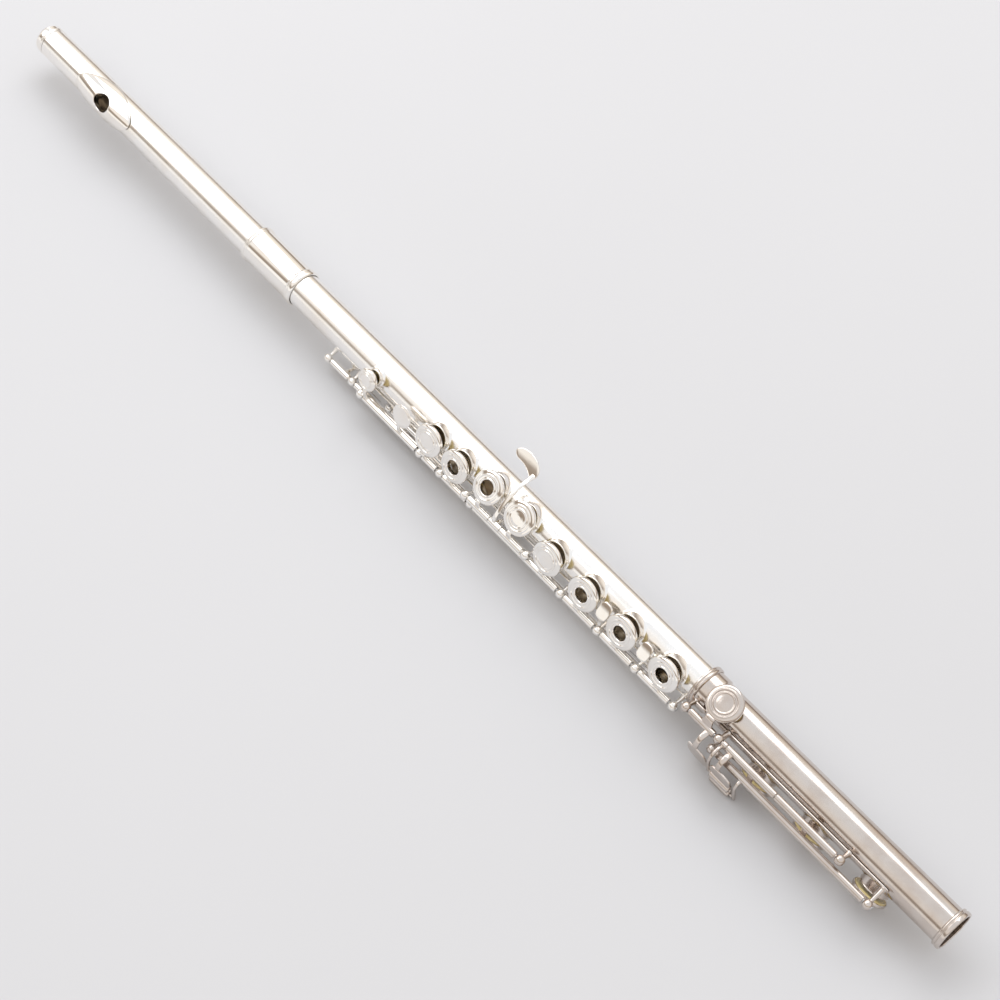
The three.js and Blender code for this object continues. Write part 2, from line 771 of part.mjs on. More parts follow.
function thumbKey() {
  const top = RIM + CUP_DEPTH;
  const thumbTouch = turnedOut([
    [0, top + 2.1],
    [5.6, top + 1.9],
    [7.6, top + 1.3],
    [7.2, top + 0.6],
    [4, top - 0.3],
    [0, top - 0.3],
  ]);
  const pieces = [
    tubeOn(THUMB_LINE, 253.9, 278),
    cupArm(THUMB_LINE, THUMB, RIM, 264.6, 267.4),
    plainCup(THUMB, RIM),
    turnTo(thumbTouch.translate(THUMB.x, 0, 0), THUMB_ANGLE),
  ];
  return swing(fuse(pieces), THUMB_LINE, -LOW_OPEN);
}

function bFlatLever() {
  const shape = new THREE.Shape();
  shape.absellipse(285.6, -1, 7.4, 5.4, 0, 2 * Math.PI, false, 0);
  const pieces = [
    tubeOn(THUMB_LINE, 278.6, 295.1),
    arm(THUMB_LINE, THUMB_ANGLE, [[8.5, 14], [3.5, 15.2]], 1.5, 285, 287.8),
    turnTo(plate(shape, 14.7, 15.9, 12), THUMB_ANGLE),
  ];
  return swing(fuse(pieces), THUMB_LINE, -LOW_OPEN);
}

function dSharpKey() {
  const shape = new THREE.Shape();
  shape.moveTo(496, 5);
  shape.quadraticCurveTo(494.6, -12.5, 503, -13);
  shape.quadraticCurveTo(508.4, -12.5, 508.3, -4);
  shape.quadraticCurveTo(508.2, 3, 503, 5);
  return fuse([
    tubeOn(FOOT_LINE, 486.9, 503.1),
    cupArm(FOOT_LINE, D_SHARP, RIM, 495.5, 498.5),
    plainCup(D_SHARP, RIM),
    pointedArm(FOOT_LINE, D_SHARP, RIM, 1.9),
    arm(FOOT_LINE, TOUCH_ANGLE, [[9.6, 21], [7, 24.6], [2, 25.7]], 1.7, 498.5, 501.5),
    turnTo(plate(shape, 25.1, 26.3, 5), TOUCH_ANGLE),
  ]);
}

const OVER_LOW_B = [[10.7, 20], [8.8, 24], [4.3, 25.2]];
const TOUCH_HEIGHT = 24.6;
const C_ROLLER_Y = -6.6;
const B_ROLLER_Y = -12.6;
const ROLLER_R = 2.2;
const ROLLER_BORE_R = 0.98;
const PIN_R = 0.68;

function rollerPin(y, x0, x1) {
  return turnTo(bar(x0, x1, PIN_R, 8).translate(0, y, TOUCH_HEIGHT), TOUCH_ANGLE);
}

function roller(y, line, open) {
  const r = ROLLER_R;
  const shape = turnedX([
    [511.6, ROLLER_BORE_R],
    [511.6, r - 0.5],
    [512.1, r],
    [523.6, r],
    [524.1, r - 0.5],
    [524.1, ROLLER_BORE_R],
  ], 12);
  return swing(turnTo(shape.translate(0, y, TOUCH_HEIGHT), TOUCH_ANGLE), line, open);
}

function lowCSharpKey() {
  const pieces = [
    tubeOn(FOOT_LINE, 511.9, 543.7),
    cupArm(FOOT_LINE, LOW_C_SHARP, RIM, 527.5, 530.5),
    plainCup(LOW_C_SHARP, RIM),
    arm(FOOT_LINE, TOUCH_ANGLE, OVER_LOW_B, 1.6, 514, 517),
    turnTo(plate(roundedPlate(511.4, 524.6, -2, 5.4, 1.6), 24.9, 26.1, 3), TOUCH_ANGLE),
  ];
  return swing(fuse(pieces), FOOT_LINE, -LOW_OPEN);
}

function lowCKey() {
  const pieces = [
    barOn(FOOT_LINE, 506.6, 587, STEEL_R),
    barOn(FOOT_LINE, 508.9, 511.5, HINGE_R),
    barOn(FOOT_LINE, 544.1, 582.1, HINGE_R),
    cupArm(FOOT_LINE, LOW_C, RIM, 562.5, 565.5),
    plainCup(LOW_C, RIM),
    arm(FOOT_LINE, TOUCH_ANGLE, [...OVER_LOW_B, [0, 25], [C_ROLLER_Y - 1, TOUCH_HEIGHT]], 1.6, 509, 510.7),
    rollerPin(C_ROLLER_Y, 510.2, 524.8),
  ];
  return swing(fuse(pieces), FOOT_LINE, -LOW_OPEN);
}

function lowBKey() {
  const reach = [[3.4, 23.6], [0, 25], [-6, 25], [B_ROLLER_Y - 1, TOUCH_HEIGHT]];
  const pieces = [
    tubeOn(LOW_B_LINE, 508.9, 604.1),
    cupArm(LOW_B_LINE, LOW_B, RIM, 600.6, 603.6),
    plainCup(LOW_B, RIM),
    arm(LOW_B_LINE, TOUCH_ANGLE, reach, 1.6, 525.8, 527.5),
    rollerPin(B_ROLLER_Y, 511.2, 526.2),
  ];
  return swing(fuse(pieces), LOW_B_LINE, -LOW_OPEN);
}

function pad(cup, rim, line, open, ring = false) {
  return swing(ring ? padRing(cup, rim) : padDisc(cup, rim), line, open);
}

// ---- put the instrument together ----------------------------------------------
addPart('head_tube', headTube(), 'silver');
addPart('lip_plate', lipPlate(), 'bright');
addPart('lip_riser', lipRiser(), 'silver');
addPart('crown', crown(), 'bright');
addPart('stopper_screw', stopperScrew(), 'silver');
addPart('stopper_cork', stopperCork(), 'cork');
addPart('stopper_nut', stopperNut(), 'steel');

addPart('barrel', barrel(), 'bright');
addPart('body_tube', bodyTube(), 'silver');
addPart('main_rib', mainRib(), 'silver');
addPart('back_rib', backRib(), 'silver');

addPart('foot_tube', footTube(), 'silver');
addPart('foot_receiver_ring', footReceiverRing(), 'bright');
addPart('foot_bell_ring', footBellRing(), 'bright');
addPart('foot_rib', footRib(), 'silver');

addPart('steel_upper_stack', barOn(MAIN_LINE, 238, 327.8, STEEL_R), 'steel');
addPart('steel_lower_stack', barOn(MAIN_LINE, 328.2, 478.5, STEEL_R), 'steel');
addPart('steel_thumb', barOn(THUMB_LINE, 249, 300, STEEL_R), 'steel');
addPart('steel_d_sharp', barOn(FOOT_LINE, 482, 505.6, STEEL_R), 'steel');
addPart('steel_low_b', barOn(LOW_B_LINE, 504, 609, STEEL_R), 'steel');

addPart('c_sharp_key', cSharpKey(), 'bright');
addPart('thumb_key', thumbKey(), 'bright');
addPart('b_flat_lever', bFlatLever(), 'bright');
addPart('b_flat_key', stackKey(MAIN_LINE, B_FLAT, [290.9, 301.1], 'plain'), 'bright');
addPart('a_key', stackKey(MAIN_LINE, A_KEY, [306.9, 325.1], 'ring'), 'bright');
addPart('g_key', gKey(), 'bright');
addPart('g_sharp_key', gSharpKey(), 'bright');
addPart('f_sharp_key', stackKey(MAIN_LINE, F_SHARP, [330.9, 393.1], 'pointed'), 'bright');
addPart('f_key', stackKey(MAIN_LINE, F_KEY, [398.9, 420.1], 'ring'), 'bright');
addPart('e_key', stackKey(MAIN_LINE, E_KEY, [425.9, 447.1], 'ring'), 'bright');
addPart('d_key', stackKey(MAIN_LINE, D_KEY, [452.9, 473.6], 'ring'), 'bright');
addPart('d_trill_key', dTrillKey(), 'bright');
addPart('d_sharp_trill_key', dSharpTrillKey(), 'bright');
addPart('d_sharp_key', dSharpKey(), 'bright');
addPart('low_c_sharp_key', lowCSharpKey(), 'bright');
addPart('low_c_key', lowCKey(), 'bright');
addPart('low_b_key', lowBKey(), 'bright');
addPart('low_c_roller', roller(C_ROLLER_Y, FOOT_LINE, -LOW_OPEN), 'bright');
addPart('low_b_roller', roller(B_ROLLER_Y, LOW_B_LINE, -LOW_OPEN), 'bright');

addPart('pad_c_sharp', pad(C_SHARP, RIM, MAIN_LINE, STACK_OPEN), 'pad');
addPart('pad_thumb', pad(THUMB, RIM, THUMB_LINE, -LOW_OPEN), 'pad');
addPart('pad_b_flat', pad(B_FLAT, RIM, MAIN_LINE, STACK_OPEN), 'pad');
addPart('pad_a', pad(A_KEY, RIM, MAIN_LINE, STACK_OPEN, true), 'pad');
addPart('pad_g_upper', pad(G_UPPER, RIM, G_LINE, STACK_OPEN, true), 'pad');
addPart('pad_g_lower', pad(G_LOWER, RIM, G_LINE, STACK_OPEN), 'pad');
addPart('pad_g_sharp', pad(G_SHARP, RIM, G_LINE, 0), 'pad');
addPart('pad_f_sharp', pad(F_SHARP, RIM, MAIN_LINE, STACK_OPEN), 'pad');
addPart('pad_f', pad(F_KEY, RIM, MAIN_LINE, STACK_OPEN, true), 'pad');
addPart('pad_e', pad(E_KEY, RIM, MAIN_LINE, STACK_OPEN, true), 'pad');
addPart('pad_d', pad(D_KEY, RIM, MAIN_LINE, STACK_OPEN, true), 'pad');
addPart('pad_d_trill', pad(D_TRILL, SMALL_RIM, TRILL_LINE, 0), 'pad');
addPart('pad_d_sharp_trill', pad(D_SHARP_TRILL, SMALL_RIM, TRILL_LINE, 0), 'pad');
addPart('pad_d_sharp', pad(D_SHARP, RIM, FOOT_LINE, 0), 'pad');
addPart('pad_low_c_sharp', pad(LOW_C_SHARP, RIM, FOOT_LINE, -LOW_OPEN), 'pad');
addPart('pad_low_c', pad(LOW_C, RIM, FOOT_LINE, -LOW_OPEN), 'pad');
addPart('pad_low_b', pad(LOW_B, RIM, LOW_B_LINE, -LOW_OPEN), 'pad');

// Lay the instrument down in its resting roll, centred over the origin.
const resting = new THREE.Matrix4().makeRotationX(rad(ROLL));
for (const mesh of flute.children) {
  mesh.geometry.applyMatrix4(resting);
}
const extent = new THREE.Box3().setFromObject(flute);
const centre = extent.getCenter(new THREE.Vector3());
for (const mesh of flute.children) {
  mesh.geometry.translate(-centre.x, -centre.y, -extent.min.z);
  mesh.geometry.computeVertexNormals();
}

export default flute;
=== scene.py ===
import math
import bmesh
import bpy
import numpy as np
from mathutils import Matrix, Vector


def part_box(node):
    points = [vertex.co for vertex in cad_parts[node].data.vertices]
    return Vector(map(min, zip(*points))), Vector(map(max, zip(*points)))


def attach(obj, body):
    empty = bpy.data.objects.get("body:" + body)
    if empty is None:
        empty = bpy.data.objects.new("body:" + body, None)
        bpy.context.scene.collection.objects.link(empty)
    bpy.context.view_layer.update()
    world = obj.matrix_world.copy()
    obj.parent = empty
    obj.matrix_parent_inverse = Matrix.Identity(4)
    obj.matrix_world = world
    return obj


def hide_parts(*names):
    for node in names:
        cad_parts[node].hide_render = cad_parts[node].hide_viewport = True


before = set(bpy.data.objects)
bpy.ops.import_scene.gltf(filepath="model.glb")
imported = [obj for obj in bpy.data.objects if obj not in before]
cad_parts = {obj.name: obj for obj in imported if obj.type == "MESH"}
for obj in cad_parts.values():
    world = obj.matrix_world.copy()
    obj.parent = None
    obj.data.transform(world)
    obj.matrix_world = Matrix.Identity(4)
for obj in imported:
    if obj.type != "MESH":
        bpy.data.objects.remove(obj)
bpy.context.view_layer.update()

# Lengths are millimetres along the tube from the blow hole.
MM = 0.001
ROLL = 62
CROWN_END, HEAD_TOP, TAPER_END = -70, -61.5, 122
BARREL_START, BARREL_END, TENON_END = 130, 171.5, 167
BODY_START, BODY_SHOULDER = 167.5, 478.6
FOOT_START, FOOT_TENON_END, FOOT_END = 479, 487.4, 641.6
BORE_R, TUBE_R, RING_R = 9.5, 9.9, 11.2
LIP_ANGLE, LIP_START, LIP_END, LIP_REACH, LIP_R = -11, -26, 23, 10.4, 13.4
BLOW_HALF_LENGTH, BLOW_HALF_WIDTH = 6, 5.1
RIM, SMALL_RIM = 12.4, 11.5
FINGER_HOLE_R = 4
STEEL_R, HINGE_BORE_R, HINGE_R, BALL_R = 1, 1.3, 1.9, 2.6

# Hinge lines: distance from the tube's axis and angle round it.
MAIN_LINE = (17.93, 51.3)
G_LINE = (17.93, 33.3)
TRILL_LINE = (17.5, 74)
THUMB_LINE = (18.2, 100)
FOOT_LINE = (17.93, 14.3)
LOW_B_LINE = (20.5, 33)
STACK_OPEN, LOW_OPEN = 10, -8
TOUCH_ANGLE = 45

# Every tone hole: station, cup radius, hole radius, angle round the tube, rim height.
HOLES = {
    "d_sharp_trill": (221, 5.7, 4, 118, SMALL_RIM),
    "d_trill": (235, 5.7, 4, 118, SMALL_RIM),
    "c_sharp": (243, 6.4, 4.4, 0, RIM),
    "thumb": (266, 8.7, 7, 150, RIM),
    "b_flat": (292, 9, 7.2, 0, RIM),
    "a": (312.5, 9.2, 7.3, 0, RIM),
    "g_upper": (334.5, 9.2, 7.3, -18, RIM),
    "g_lower": (358, 9.3, 7.4, -18, RIM),
    "g_sharp": (347, 7.9, 6.4, 140, RIM),
    "f_sharp": (382.5, 9.3, 7.5, 0, RIM),
    "f": (408.5, 9.4, 7.5, 0, RIM),
    "e": (436, 9.4, 7.6, 0, RIM),
    "d": (465.5, 9.4, 7.6, 0, RIM),
    "d_sharp": (497, 9.3, 7.5, -37, RIM),
    "low_c_sharp": (529, 9.6, 7.9, 80, RIM),
    "low_c": (564, 9.6, 7.9, 80, RIM),
    "low_b": (602, 9.6, 7.9, 80, RIM),
}
FOOT_HOLES = ("d_sharp", "low_c_sharp", "low_c", "low_b")

bell_low, bell_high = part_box("foot_bell_ring")
AXIS = Vector((
    bell_high.x - FOOT_END * MM,
    (bell_low.y + bell_high.y) / 2,
    (bell_low.z + bell_high.z) / 2,
))


# ---- where things lie ----------------------------------------------------------
def line_point(line, angle=0.0):
    turned = math.radians(line[1] - angle)
    return -line[0] * math.sin(turned), line[0] * math.cos(turned)


def lying(angle=0.0, line=None, opened=0.0):
    """From a frame at that angle round the tube, in mm, to the resting flute, in metres."""
    turn = Matrix.Rotation(math.radians(angle), 4, "X")
    if line:
        y, z = line_point(line)
        there = Matrix.Translation((0, y, z))
        swing = Matrix.Rotation(math.radians(opened), 4, "X")
        turn = there @ swing @ there.inverted() @ turn
    whole = Matrix.Translation(AXIS) @ Matrix.Scale(MM, 4)
    return whole @ Matrix.Rotation(math.radians(ROLL), 4, "X") @ turn


# ---- shapes: each is (points, faces) --------------------------------------------
def placed(shape, matrix):
    points, faces = shape
    m = np.array(matrix)
    return points @ m[:3, :3].T + m[:3, 3], faces


def moved(shape, x=0.0, f=0.0, n=0.0):
    return shape[0] + np.array((x, f, n), float), shape[1]


def together(shapes):
    points, faces, start = [], [], 0
    for p, fs in shapes:
        points.append(p)
        faces += [[i + start for i in face] for face in fs]
        start += len(p)
    return np.vstack(points), faces


def rings_joined(rings, closed):
    """Faces between loops of points; a loop of one point is a tip."""
    points, names = [], []
    for ring in rings:
        names.append(range(len(points), len(points) + len(ring)))
        points += list(ring)
    pairs = list(zip(names, names[1:]))
    if closed:
        pairs.append((names[-1], names[0]))
    faces = []
    for low, high in pairs:
        count = max(len(low), len(high))
        for i in range(count):
            j = (i + 1) % count
            if len(low) == 1:
                faces.append([low[0], high[j], high[i]])
            elif len(high) == 1:
                faces.append([low[i], low[j], high[0]])
            else:
                faces.append([low[i], low[j], high[j], high[i]])
    return np.array(points, float), faces


def filleted(points, radius=0.25, steps=3, ring=True):
    """The corners of a profile rounded off."""
    pts = [Vector(p) for p in points]
    out = []
    for i, p in enumerate(pts):
        if not ring and i in (0, len(pts) - 1):
            out.append(tuple(p))
            continue
        before = pts[i - 1] - p
        after = pts[(i + 1) % len(pts)] - p
        reach = min(radius, 0.45 * before.length, 0.45 * after.length)
        a, b = p + before.normalized() * reach, p + after.normalized() * reach
        for k in range(steps + 1):
            t = k / steps
            out.append(tuple(a * (1 - t) ** 2 + p * 2 * t * (1 - t) + b * t * t))
    return out


def turned(profile, segments=64, outward=False):
    """A lathe shape of (height, radius) points about x, or about the outward axis."""
    rings = []
    for h, r in profile:
        if r < 1e-6:
            rings.append([(0, 0, h) if outward else (h, 0, 0)])
            continue
        ring = []
        for i in range(segments):
            t = 2 * math.pi * i / segments
            c, s = r * math.cos(t), r * math.sin(t)
            ring.append((c, s, h) if outward else (h, c, s))
        rings.append(ring)
    return rings_joined(rings, closed=profile[0][1] > 1e-6)


def cup_turned(points, radius=0.2, segments=72):
    """A lathe shape of (radius, height) points about the outward axis, corners rounded."""
    ring = points[0][0] > 1e-6
    profile = [(h, r) for r, h in filleted(points, radius, 3, ring)]
    return turned(profile, segments, outward=True)


def smooth_line(points, steps=6):
    """A smooth line through points, with evenly many steps between them."""
    p = np.array(points, float)
    p = np.vstack([2 * p[0] - p[1], p, 2 * p[-1] - p[-2]])
    out = []
    for i in range(1, len(p) - 2):
        for k in range(steps):
            t = k / steps
            a, b, c, d = p[i - 1], p[i], p[i + 1], p[i + 2]
            out.append(0.5 * (2 * b + (c - a) * t + (2 * a - 5 * b + 4 * c - d) * t * t
                              + (3 * b - a - 3 * c + d) * t ** 3))
    out.append(p[-2])
    return np.array(out)


def swept(points, widths, depths, across=(1, 0, 0), steps=6, segments=16, square=0.55):
    """A bar with a rounded oblong section along a smooth line."""
    line = smooth_line(points, steps)
    count = len(line)
    u = np.linspace(0, 1, count)
    wide = np.interp(u, np.linspace(0, 1, len(widths)), widths) / 2
    deep = np.interp(u, np.linspace(0, 1, len(depths)), depths) / 2
    tangents = np.gradient(line, axis=0)
    tangents /= np.linalg.norm(tangents, axis=1)[:, None]
    side0 = np.array(across, float)

    def loop(k, at, shrink):
        side = side0 - tangents[k] * (side0 @ tangents[k])
        side /= np.linalg.norm(side)
        up = np.cross(tangents[k], side)
        ring = []
        for i in range(segments):
            t = 2 * math.pi * i / segments
            c, s = math.cos(t), math.sin(t)
            c = math.copysign(abs(c) ** square, c) * wide[k] * shrink
            s = math.copysign(abs(s) ** square, s) * deep[k] * shrink
            ring.append(at + side * c + up * s)
        return ring

    rings = [[line[0] - tangents[0] * deep[0] * 0.6], loop(0, line[0] - tangents[0] * deep[0] * 0.5, 0.7)]
    rings += [loop(k, line[k], 1.0) for k in range(count)]
    rings += [loop(-1, line[-1] + tangents[-1] * deep[-1] * 0.5, 0.7), [line[-1] + tangents[-1] * deep[-1] * 0.6]]
    return rings_joined(rings, closed=False)


def slab(outline, lower, upper, edge=0.3, inner=5, steps=4):
    """A plate with rounded edges; lower and upper are heights or functions of (x, f)."""
    low = lower if callable(lower) else (lambda x, f: lower)
    high = upper if callable(upper) else (lambda x, f: upper)
    rim = np.array(outline, float)
    back, front = np.roll(rim, 1, axis=0), np.roll(rim, -1, axis=0)
    run = front - back
    area = np.sum(rim[:, 0] * front[:, 1] - front[:, 0] * rim[:, 1])
    inwards = np.stack([-run[:, 1], run[:, 0]], axis=1) * (1 if area > 0 else -1)
    inwards /= np.linalg.norm(inwards, axis=1)[:, None]
    centre = rim.mean(axis=0)

    def level(flat, share):
        return [(x, f, low(x, f) + (high(x, f) - low(x, f)) * share) for x, f in flat]

    thick = high(*centre) - low(*centre)
    round_share = min(0.5, edge / thick)
    rings = [level([centre], 0.0)]
    inset = rim + inwards * edge
    for k in range(1, inner + 1):
        rings.append(level(centre + (inset - centre) * (k / inner) ** 0.8, 0.0))
    for k in range(1, steps + 1):
        t = math.pi / 2 * k / steps
        rings.append(level(rim + inwards * edge * (1 - math.sin(t)), round_share * (1 - math.cos(t))))
    for k in range(steps, 0, -1):
        t = math.pi / 2 * k / steps
        rings.append(level(rim + inwards * edge * (1 - math.sin(t)), 1 - round_share * (1 - math.cos(t))))
    for k in range(inner, 0, -1):
        rings.append(level(centre + (inset - centre) * (k / inner) ** 0.8, 1.0))
    rings.append(level([centre], 1.0))
    return rings_joined(rings, closed=False)


def oval(cx, cf, half_x, half_f, count=64, power=1.0):
    out = []
    for i in range(count):
        t = 2 * math.pi * i / count
        c, s = math.cos(t), math.sin(t)
        out.append((cx + half_x * math.copysign(abs(c) ** power, c),
                    cf + half_f * math.copysign(abs(s) ** power, s)))
    return out


# ---- finishes -------------------------------------------------------------------
def effect(name, inputs, outputs):
    group = bpy.data.node_groups.new(name, "ShaderNodeTree")
    for label, kind, value in inputs:
        made = group.interface.new_socket(name=label, in_out="INPUT", socket_type=kind)
        made.default_value = value
    for label, kind in outputs:
        group.interface.new_socket(name=label, in_out="OUTPUT", socket_type=kind)
    nodes = group.nodes
    return group, nodes.new("NodeGroupInput"), nodes.new("NodeGroupOutput")


def wired(tree, kind, **values):
    node = tree.nodes.new(kind)
    for key, value in values.items():
        setattr(node, key, value)
    return node


def feed(tree, node, **values):
    """Sets or links a node's sockets by name, with _ for a space."""
    for key, value in values.items():
        numbered = key[0] == "i" and key[1:].isdigit()
        socket = node.inputs[int(key[1:]) if numbered else key.replace("_", " ")]
        if isinstance(value, bpy.types.NodeSocket):
            tree.links.new(value, socket)
        else:
            socket.default_value = value
    return node


def tarnish_drift():
    """Colour that drifts between clean metal and a thin warm tarnish, more in the hollows."""
    group, given, out = effect(
        "tarnish_drift",
        [("Clean", "NodeSocketColor", (0.95, 0.93, 0.89, 1)),
         ("Tarnish", "NodeSocketColor", (0.8, 0.66, 0.48, 1)),
         ("Amount", "NodeSocketFloat", 0.3),
         ("Scale", "NodeSocketFloat", 60.0),
         ("Hollow", "NodeSocketFloat", 0.5)],
        [("Colour", "NodeSocketColor"), ("Mask", "NodeSocketFloat")],
    )
    place = wired(group, "ShaderNodeTexCoord")
    cloud = feed(group, wired(group, "ShaderNodeTexNoise"), Vector=place.outputs["Object"],
                 Scale=given.outputs["Scale"], Detail=5.0, Roughness=0.6)
    shaped = feed(group, wired(group, "ShaderNodeMapRange"), Value=cloud.outputs["Fac"],
                  From_Min=0.42, From_Max=0.75)
    hollow = feed(group, wired(group, "ShaderNodeMapRange"), Value=given.outputs["Hollow"],
                  From_Min=0.5, From_Max=0.38)
    both = feed(group, wired(group, "ShaderNodeMath", operation="MAXIMUM"),
                i0=shaped.outputs["Result"], i1=hollow.outputs["Result"])
    mask = feed(group, wired(group, "ShaderNodeMath", operation="MULTIPLY"),
                i0=both.outputs[0], i1=given.outputs["Amount"])
    mix = feed(group, wired(group, "ShaderNodeMix", data_type="RGBA"))
    group.links.new(mask.outputs[0], mix.inputs["Factor"])
    colour_in = [s for s in mix.inputs if s.type == "RGBA"]
    group.links.new(given.outputs["Clean"], colour_in[0])
    group.links.new(given.outputs["Tarnish"], colour_in[1])
    colour_out = [s for s in mix.outputs if s.type == "RGBA"][0]
    group.links.new(colour_out, out.inputs["Colour"])
    group.links.new(mask.outputs[0], out.inputs["Mask"])
    return group


def polish_marks():
    """Fine wiping marks along the tube: a roughness and a height."""
    group, given, out = effect(
        "polish_marks",
        [("Along", "NodeSocketFloat", 60.0), ("Around", "NodeSocketFloat", 900.0),
         ("Smooth", "NodeSocketFloat", 0.06), ("Dull", "NodeSocketFloat", 0.2)],
        [("Roughness", "NodeSocketFloat"), ("Height", "NodeSocketFloat")],
    )
    place = wired(group, "ShaderNodeTexCoord")
    scale = feed(group, wired(group, "ShaderNodeCombineXYZ"), X=given.outputs["Along"],
                 Y=given.outputs["Around"], Z=given.outputs["Around"])
    stretch = feed(group, wired(group, "ShaderNodeVectorMath", operation="MULTIPLY"),
                   i0=place.outputs["Object"], i1=scale.outputs[0])
    fine = feed(group, wired(group, "ShaderNodeTexNoise"), Vector=stretch.outputs[0],
                Scale=1.0, Detail=3.0, Roughness=0.7)
    broad = feed(group, wired(group, "ShaderNodeTexNoise"), Vector=place.outputs["Object"],
                 Scale=35.0, Detail=4.0)
    blend = feed(group, wired(group, "ShaderNodeMath", operation="MULTIPLY"),
                 i0=fine.outputs["Fac"], i1=broad.outputs["Fac"])
    rough = feed(group, wired(group, "ShaderNodeMapRange"), Value=blend.outputs[0],
                 From_Min=0.12, From_Max=0.42, To_Min=given.outputs["Smooth"], To_Max=given.outputs["Dull"])
    group.links.new(rough.outputs["Result"], out.inputs["Roughness"])
    group.links.new(fine.outputs["Fac"], out.inputs["Height"])
    return group


TARNISH = tarnish_drift()
MARKS = polish_marks()


def metal(name, clean, tarnish, amount, smooth, dull, along=60.0, around=900.0, height=0.000004, scale=60.0):
    finish = bpy.data.materials.new(name)
    finish.use_nodes = True
    tree = finish.node_tree
    shader = tree.nodes["Principled BSDF"]
    shape = tree.nodes.new("ShaderNodeNewGeometry")
    drift = wired(tree, "ShaderNodeGroup", node_tree=TARNISH)
    feed(tree, drift, Clean=clean, Tarnish=tarnish, Amount=amount, Scale=scale, Hollow=shape.outputs["Pointiness"])
    marks = feed(tree, wired(tree, "ShaderNodeGroup", node_tree=MARKS), Along=along, Around=around,
                 Smooth=smooth, Dull=dull)
    bump = feed(tree, wired(tree, "ShaderNodeBump"), Height=marks.outputs["Height"], Strength=0.35, Distance=height)
    feed(tree, shader, Base_Color=drift.outputs["Colour"], Metallic=1.0,
         Roughness=marks.outputs["Roughness"], Normal=bump.outputs["Normal"])
    return finish


def soft(name, light, dark, rough, bump_scale, bump_depth, clear=0.0):
    finish = bpy.data.materials.new(name)
    finish.use_nodes = True
    tree = finish.node_tree
    shader = tree.nodes["Principled BSDF"]
    drift = wired(tree, "ShaderNodeGroup", node_tree=TARNISH)
    feed(tree, drift, Clean=light, Tarnish=dark, Amount=0.9, Scale=bump_scale * 0.4)
    place = wired(tree, "ShaderNodeTexCoord")
    grain = feed(tree, wired(tree, "ShaderNodeTexVoronoi"), Vector=place.outputs["Object"], Scale=bump_scale)
    creases = feed(tree, wired(tree, "ShaderNodeTexNoise"), Vector=place.outputs["Object"],
                   Scale=bump_scale * 2, Detail=6.0)
    mixed = feed(tree, wired(tree, "ShaderNodeMath", operation="MULTIPLY"),
                 i0=grain.outputs["Distance"], i1=creases.outputs["Fac"])
    dull = feed(tree, wired(tree, "ShaderNodeMapRange"), Value=creases.outputs["Fac"],
                From_Min=0.3, From_Max=0.7, To_Min=rough - 0.15, To_Max=rough + 0.1)
    bump = feed(tree, wired(tree, "ShaderNodeBump"), Height=mixed.outputs[0], Strength=0.6, Distance=bump_depth)
    feed(tree, shader, Base_Color=drift.outputs["Colour"], Roughness=dull.outputs["Result"],
         Normal=bump.outputs["Normal"])
    shader.inputs["Coat Weight"].default_value = clear
    shader.inputs["Coat Roughness"].default_value = 0.25
    return finish


SILVER = metal("silver_plate", (0.94, 0.92, 0.895, 1), (0.86, 0.76, 0.63, 1), 0.35, 0.15, 0.24)
# The foot joint's silver is a darker, greyer and warmer copy of the rest, inside and out: painted shade.
SHADED_FOOT_SILVER = metal("foot_silver_painted_shade", (0.66, 0.6, 0.555, 1), (0.5, 0.4, 0.33, 1), 0.55, 0.12, 0.22)
FOOT_BODIES = ("foot_joint", "d_sharp_assy", "low_c_sharp_assy", "low_c_assy", "low_b_assy", "c_roller", "b_roller")
BRIGHT = metal("bright_silver_keys", (0.93, 0.905, 0.87, 1), (0.84, 0.72, 0.58, 1), 0.3, 0.04, 0.12, 300, 500)
INSIDE = metal("bore_silver", (0.9, 0.83, 0.73, 1), (0.6, 0.46, 0.33, 1), 0.7, 0.25, 0.45)
# The foot's bore lining is painted dark brown: painted shade inside the tube.
SHADED_FOOT_BORE = metal("foot_bore_painted_shade", (0.42, 0.33, 0.26, 1), (0.28, 0.19, 0.13, 1), 0.8, 0.2, 0.42)
STEEL = metal("ground_steel", (0.62, 0.62, 0.63, 1), (0.4, 0.33, 0.27, 1), 0.4, 0.2, 0.36, 2500, 200)
SPRING = metal("blued_spring_wire", (0.28, 0.27, 0.3, 1), (0.5, 0.4, 0.24, 1), 0.5, 0.15, 0.3, 200, 2000)
SKIN = soft("pad_skin", (0.86, 0.72, 0.36, 1), (0.66, 0.46, 0.17, 1), 0.5, 900.0, 0.00008, clear=0.35)
CORK = soft("cork", (0.55, 0.36, 0.2, 1), (0.3, 0.17, 0.08, 1), 0.85, 1300.0, 0.00025)


# ---- making a piece ---------------------------------------------------------------
def made(name, shape, finish, body, replaces=(), slot=None, crease=38):
    points, faces = shape
    mesh = bpy.data.meshes.new(name)
    mesh.from_pydata(points.tolist(), [], faces)
    bm = bmesh.new()
    bm.from_mesh(mesh)
    bmesh.ops.recalc_face_normals(bm, faces=bm.faces)
    bm.to_mesh(mesh)
    bm.free()
    mesh.shade_smooth()
    mesh.set_sharp_from_angle(angle=math.radians(crease))
    # Pieces of the foot joint take the darker copy of the silver: painted shade.
    mesh.materials.append(SHADED_FOOT_SILVER if body in FOOT_BODIES and finish in (SILVER, BRIGHT) else finish)
    piece = bpy.data.objects.new(name, mesh)
    bpy.context.scene.collection.objects.link(piece)
    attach(piece, body)
    if replaces:
        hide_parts(*replaces)
    return piece


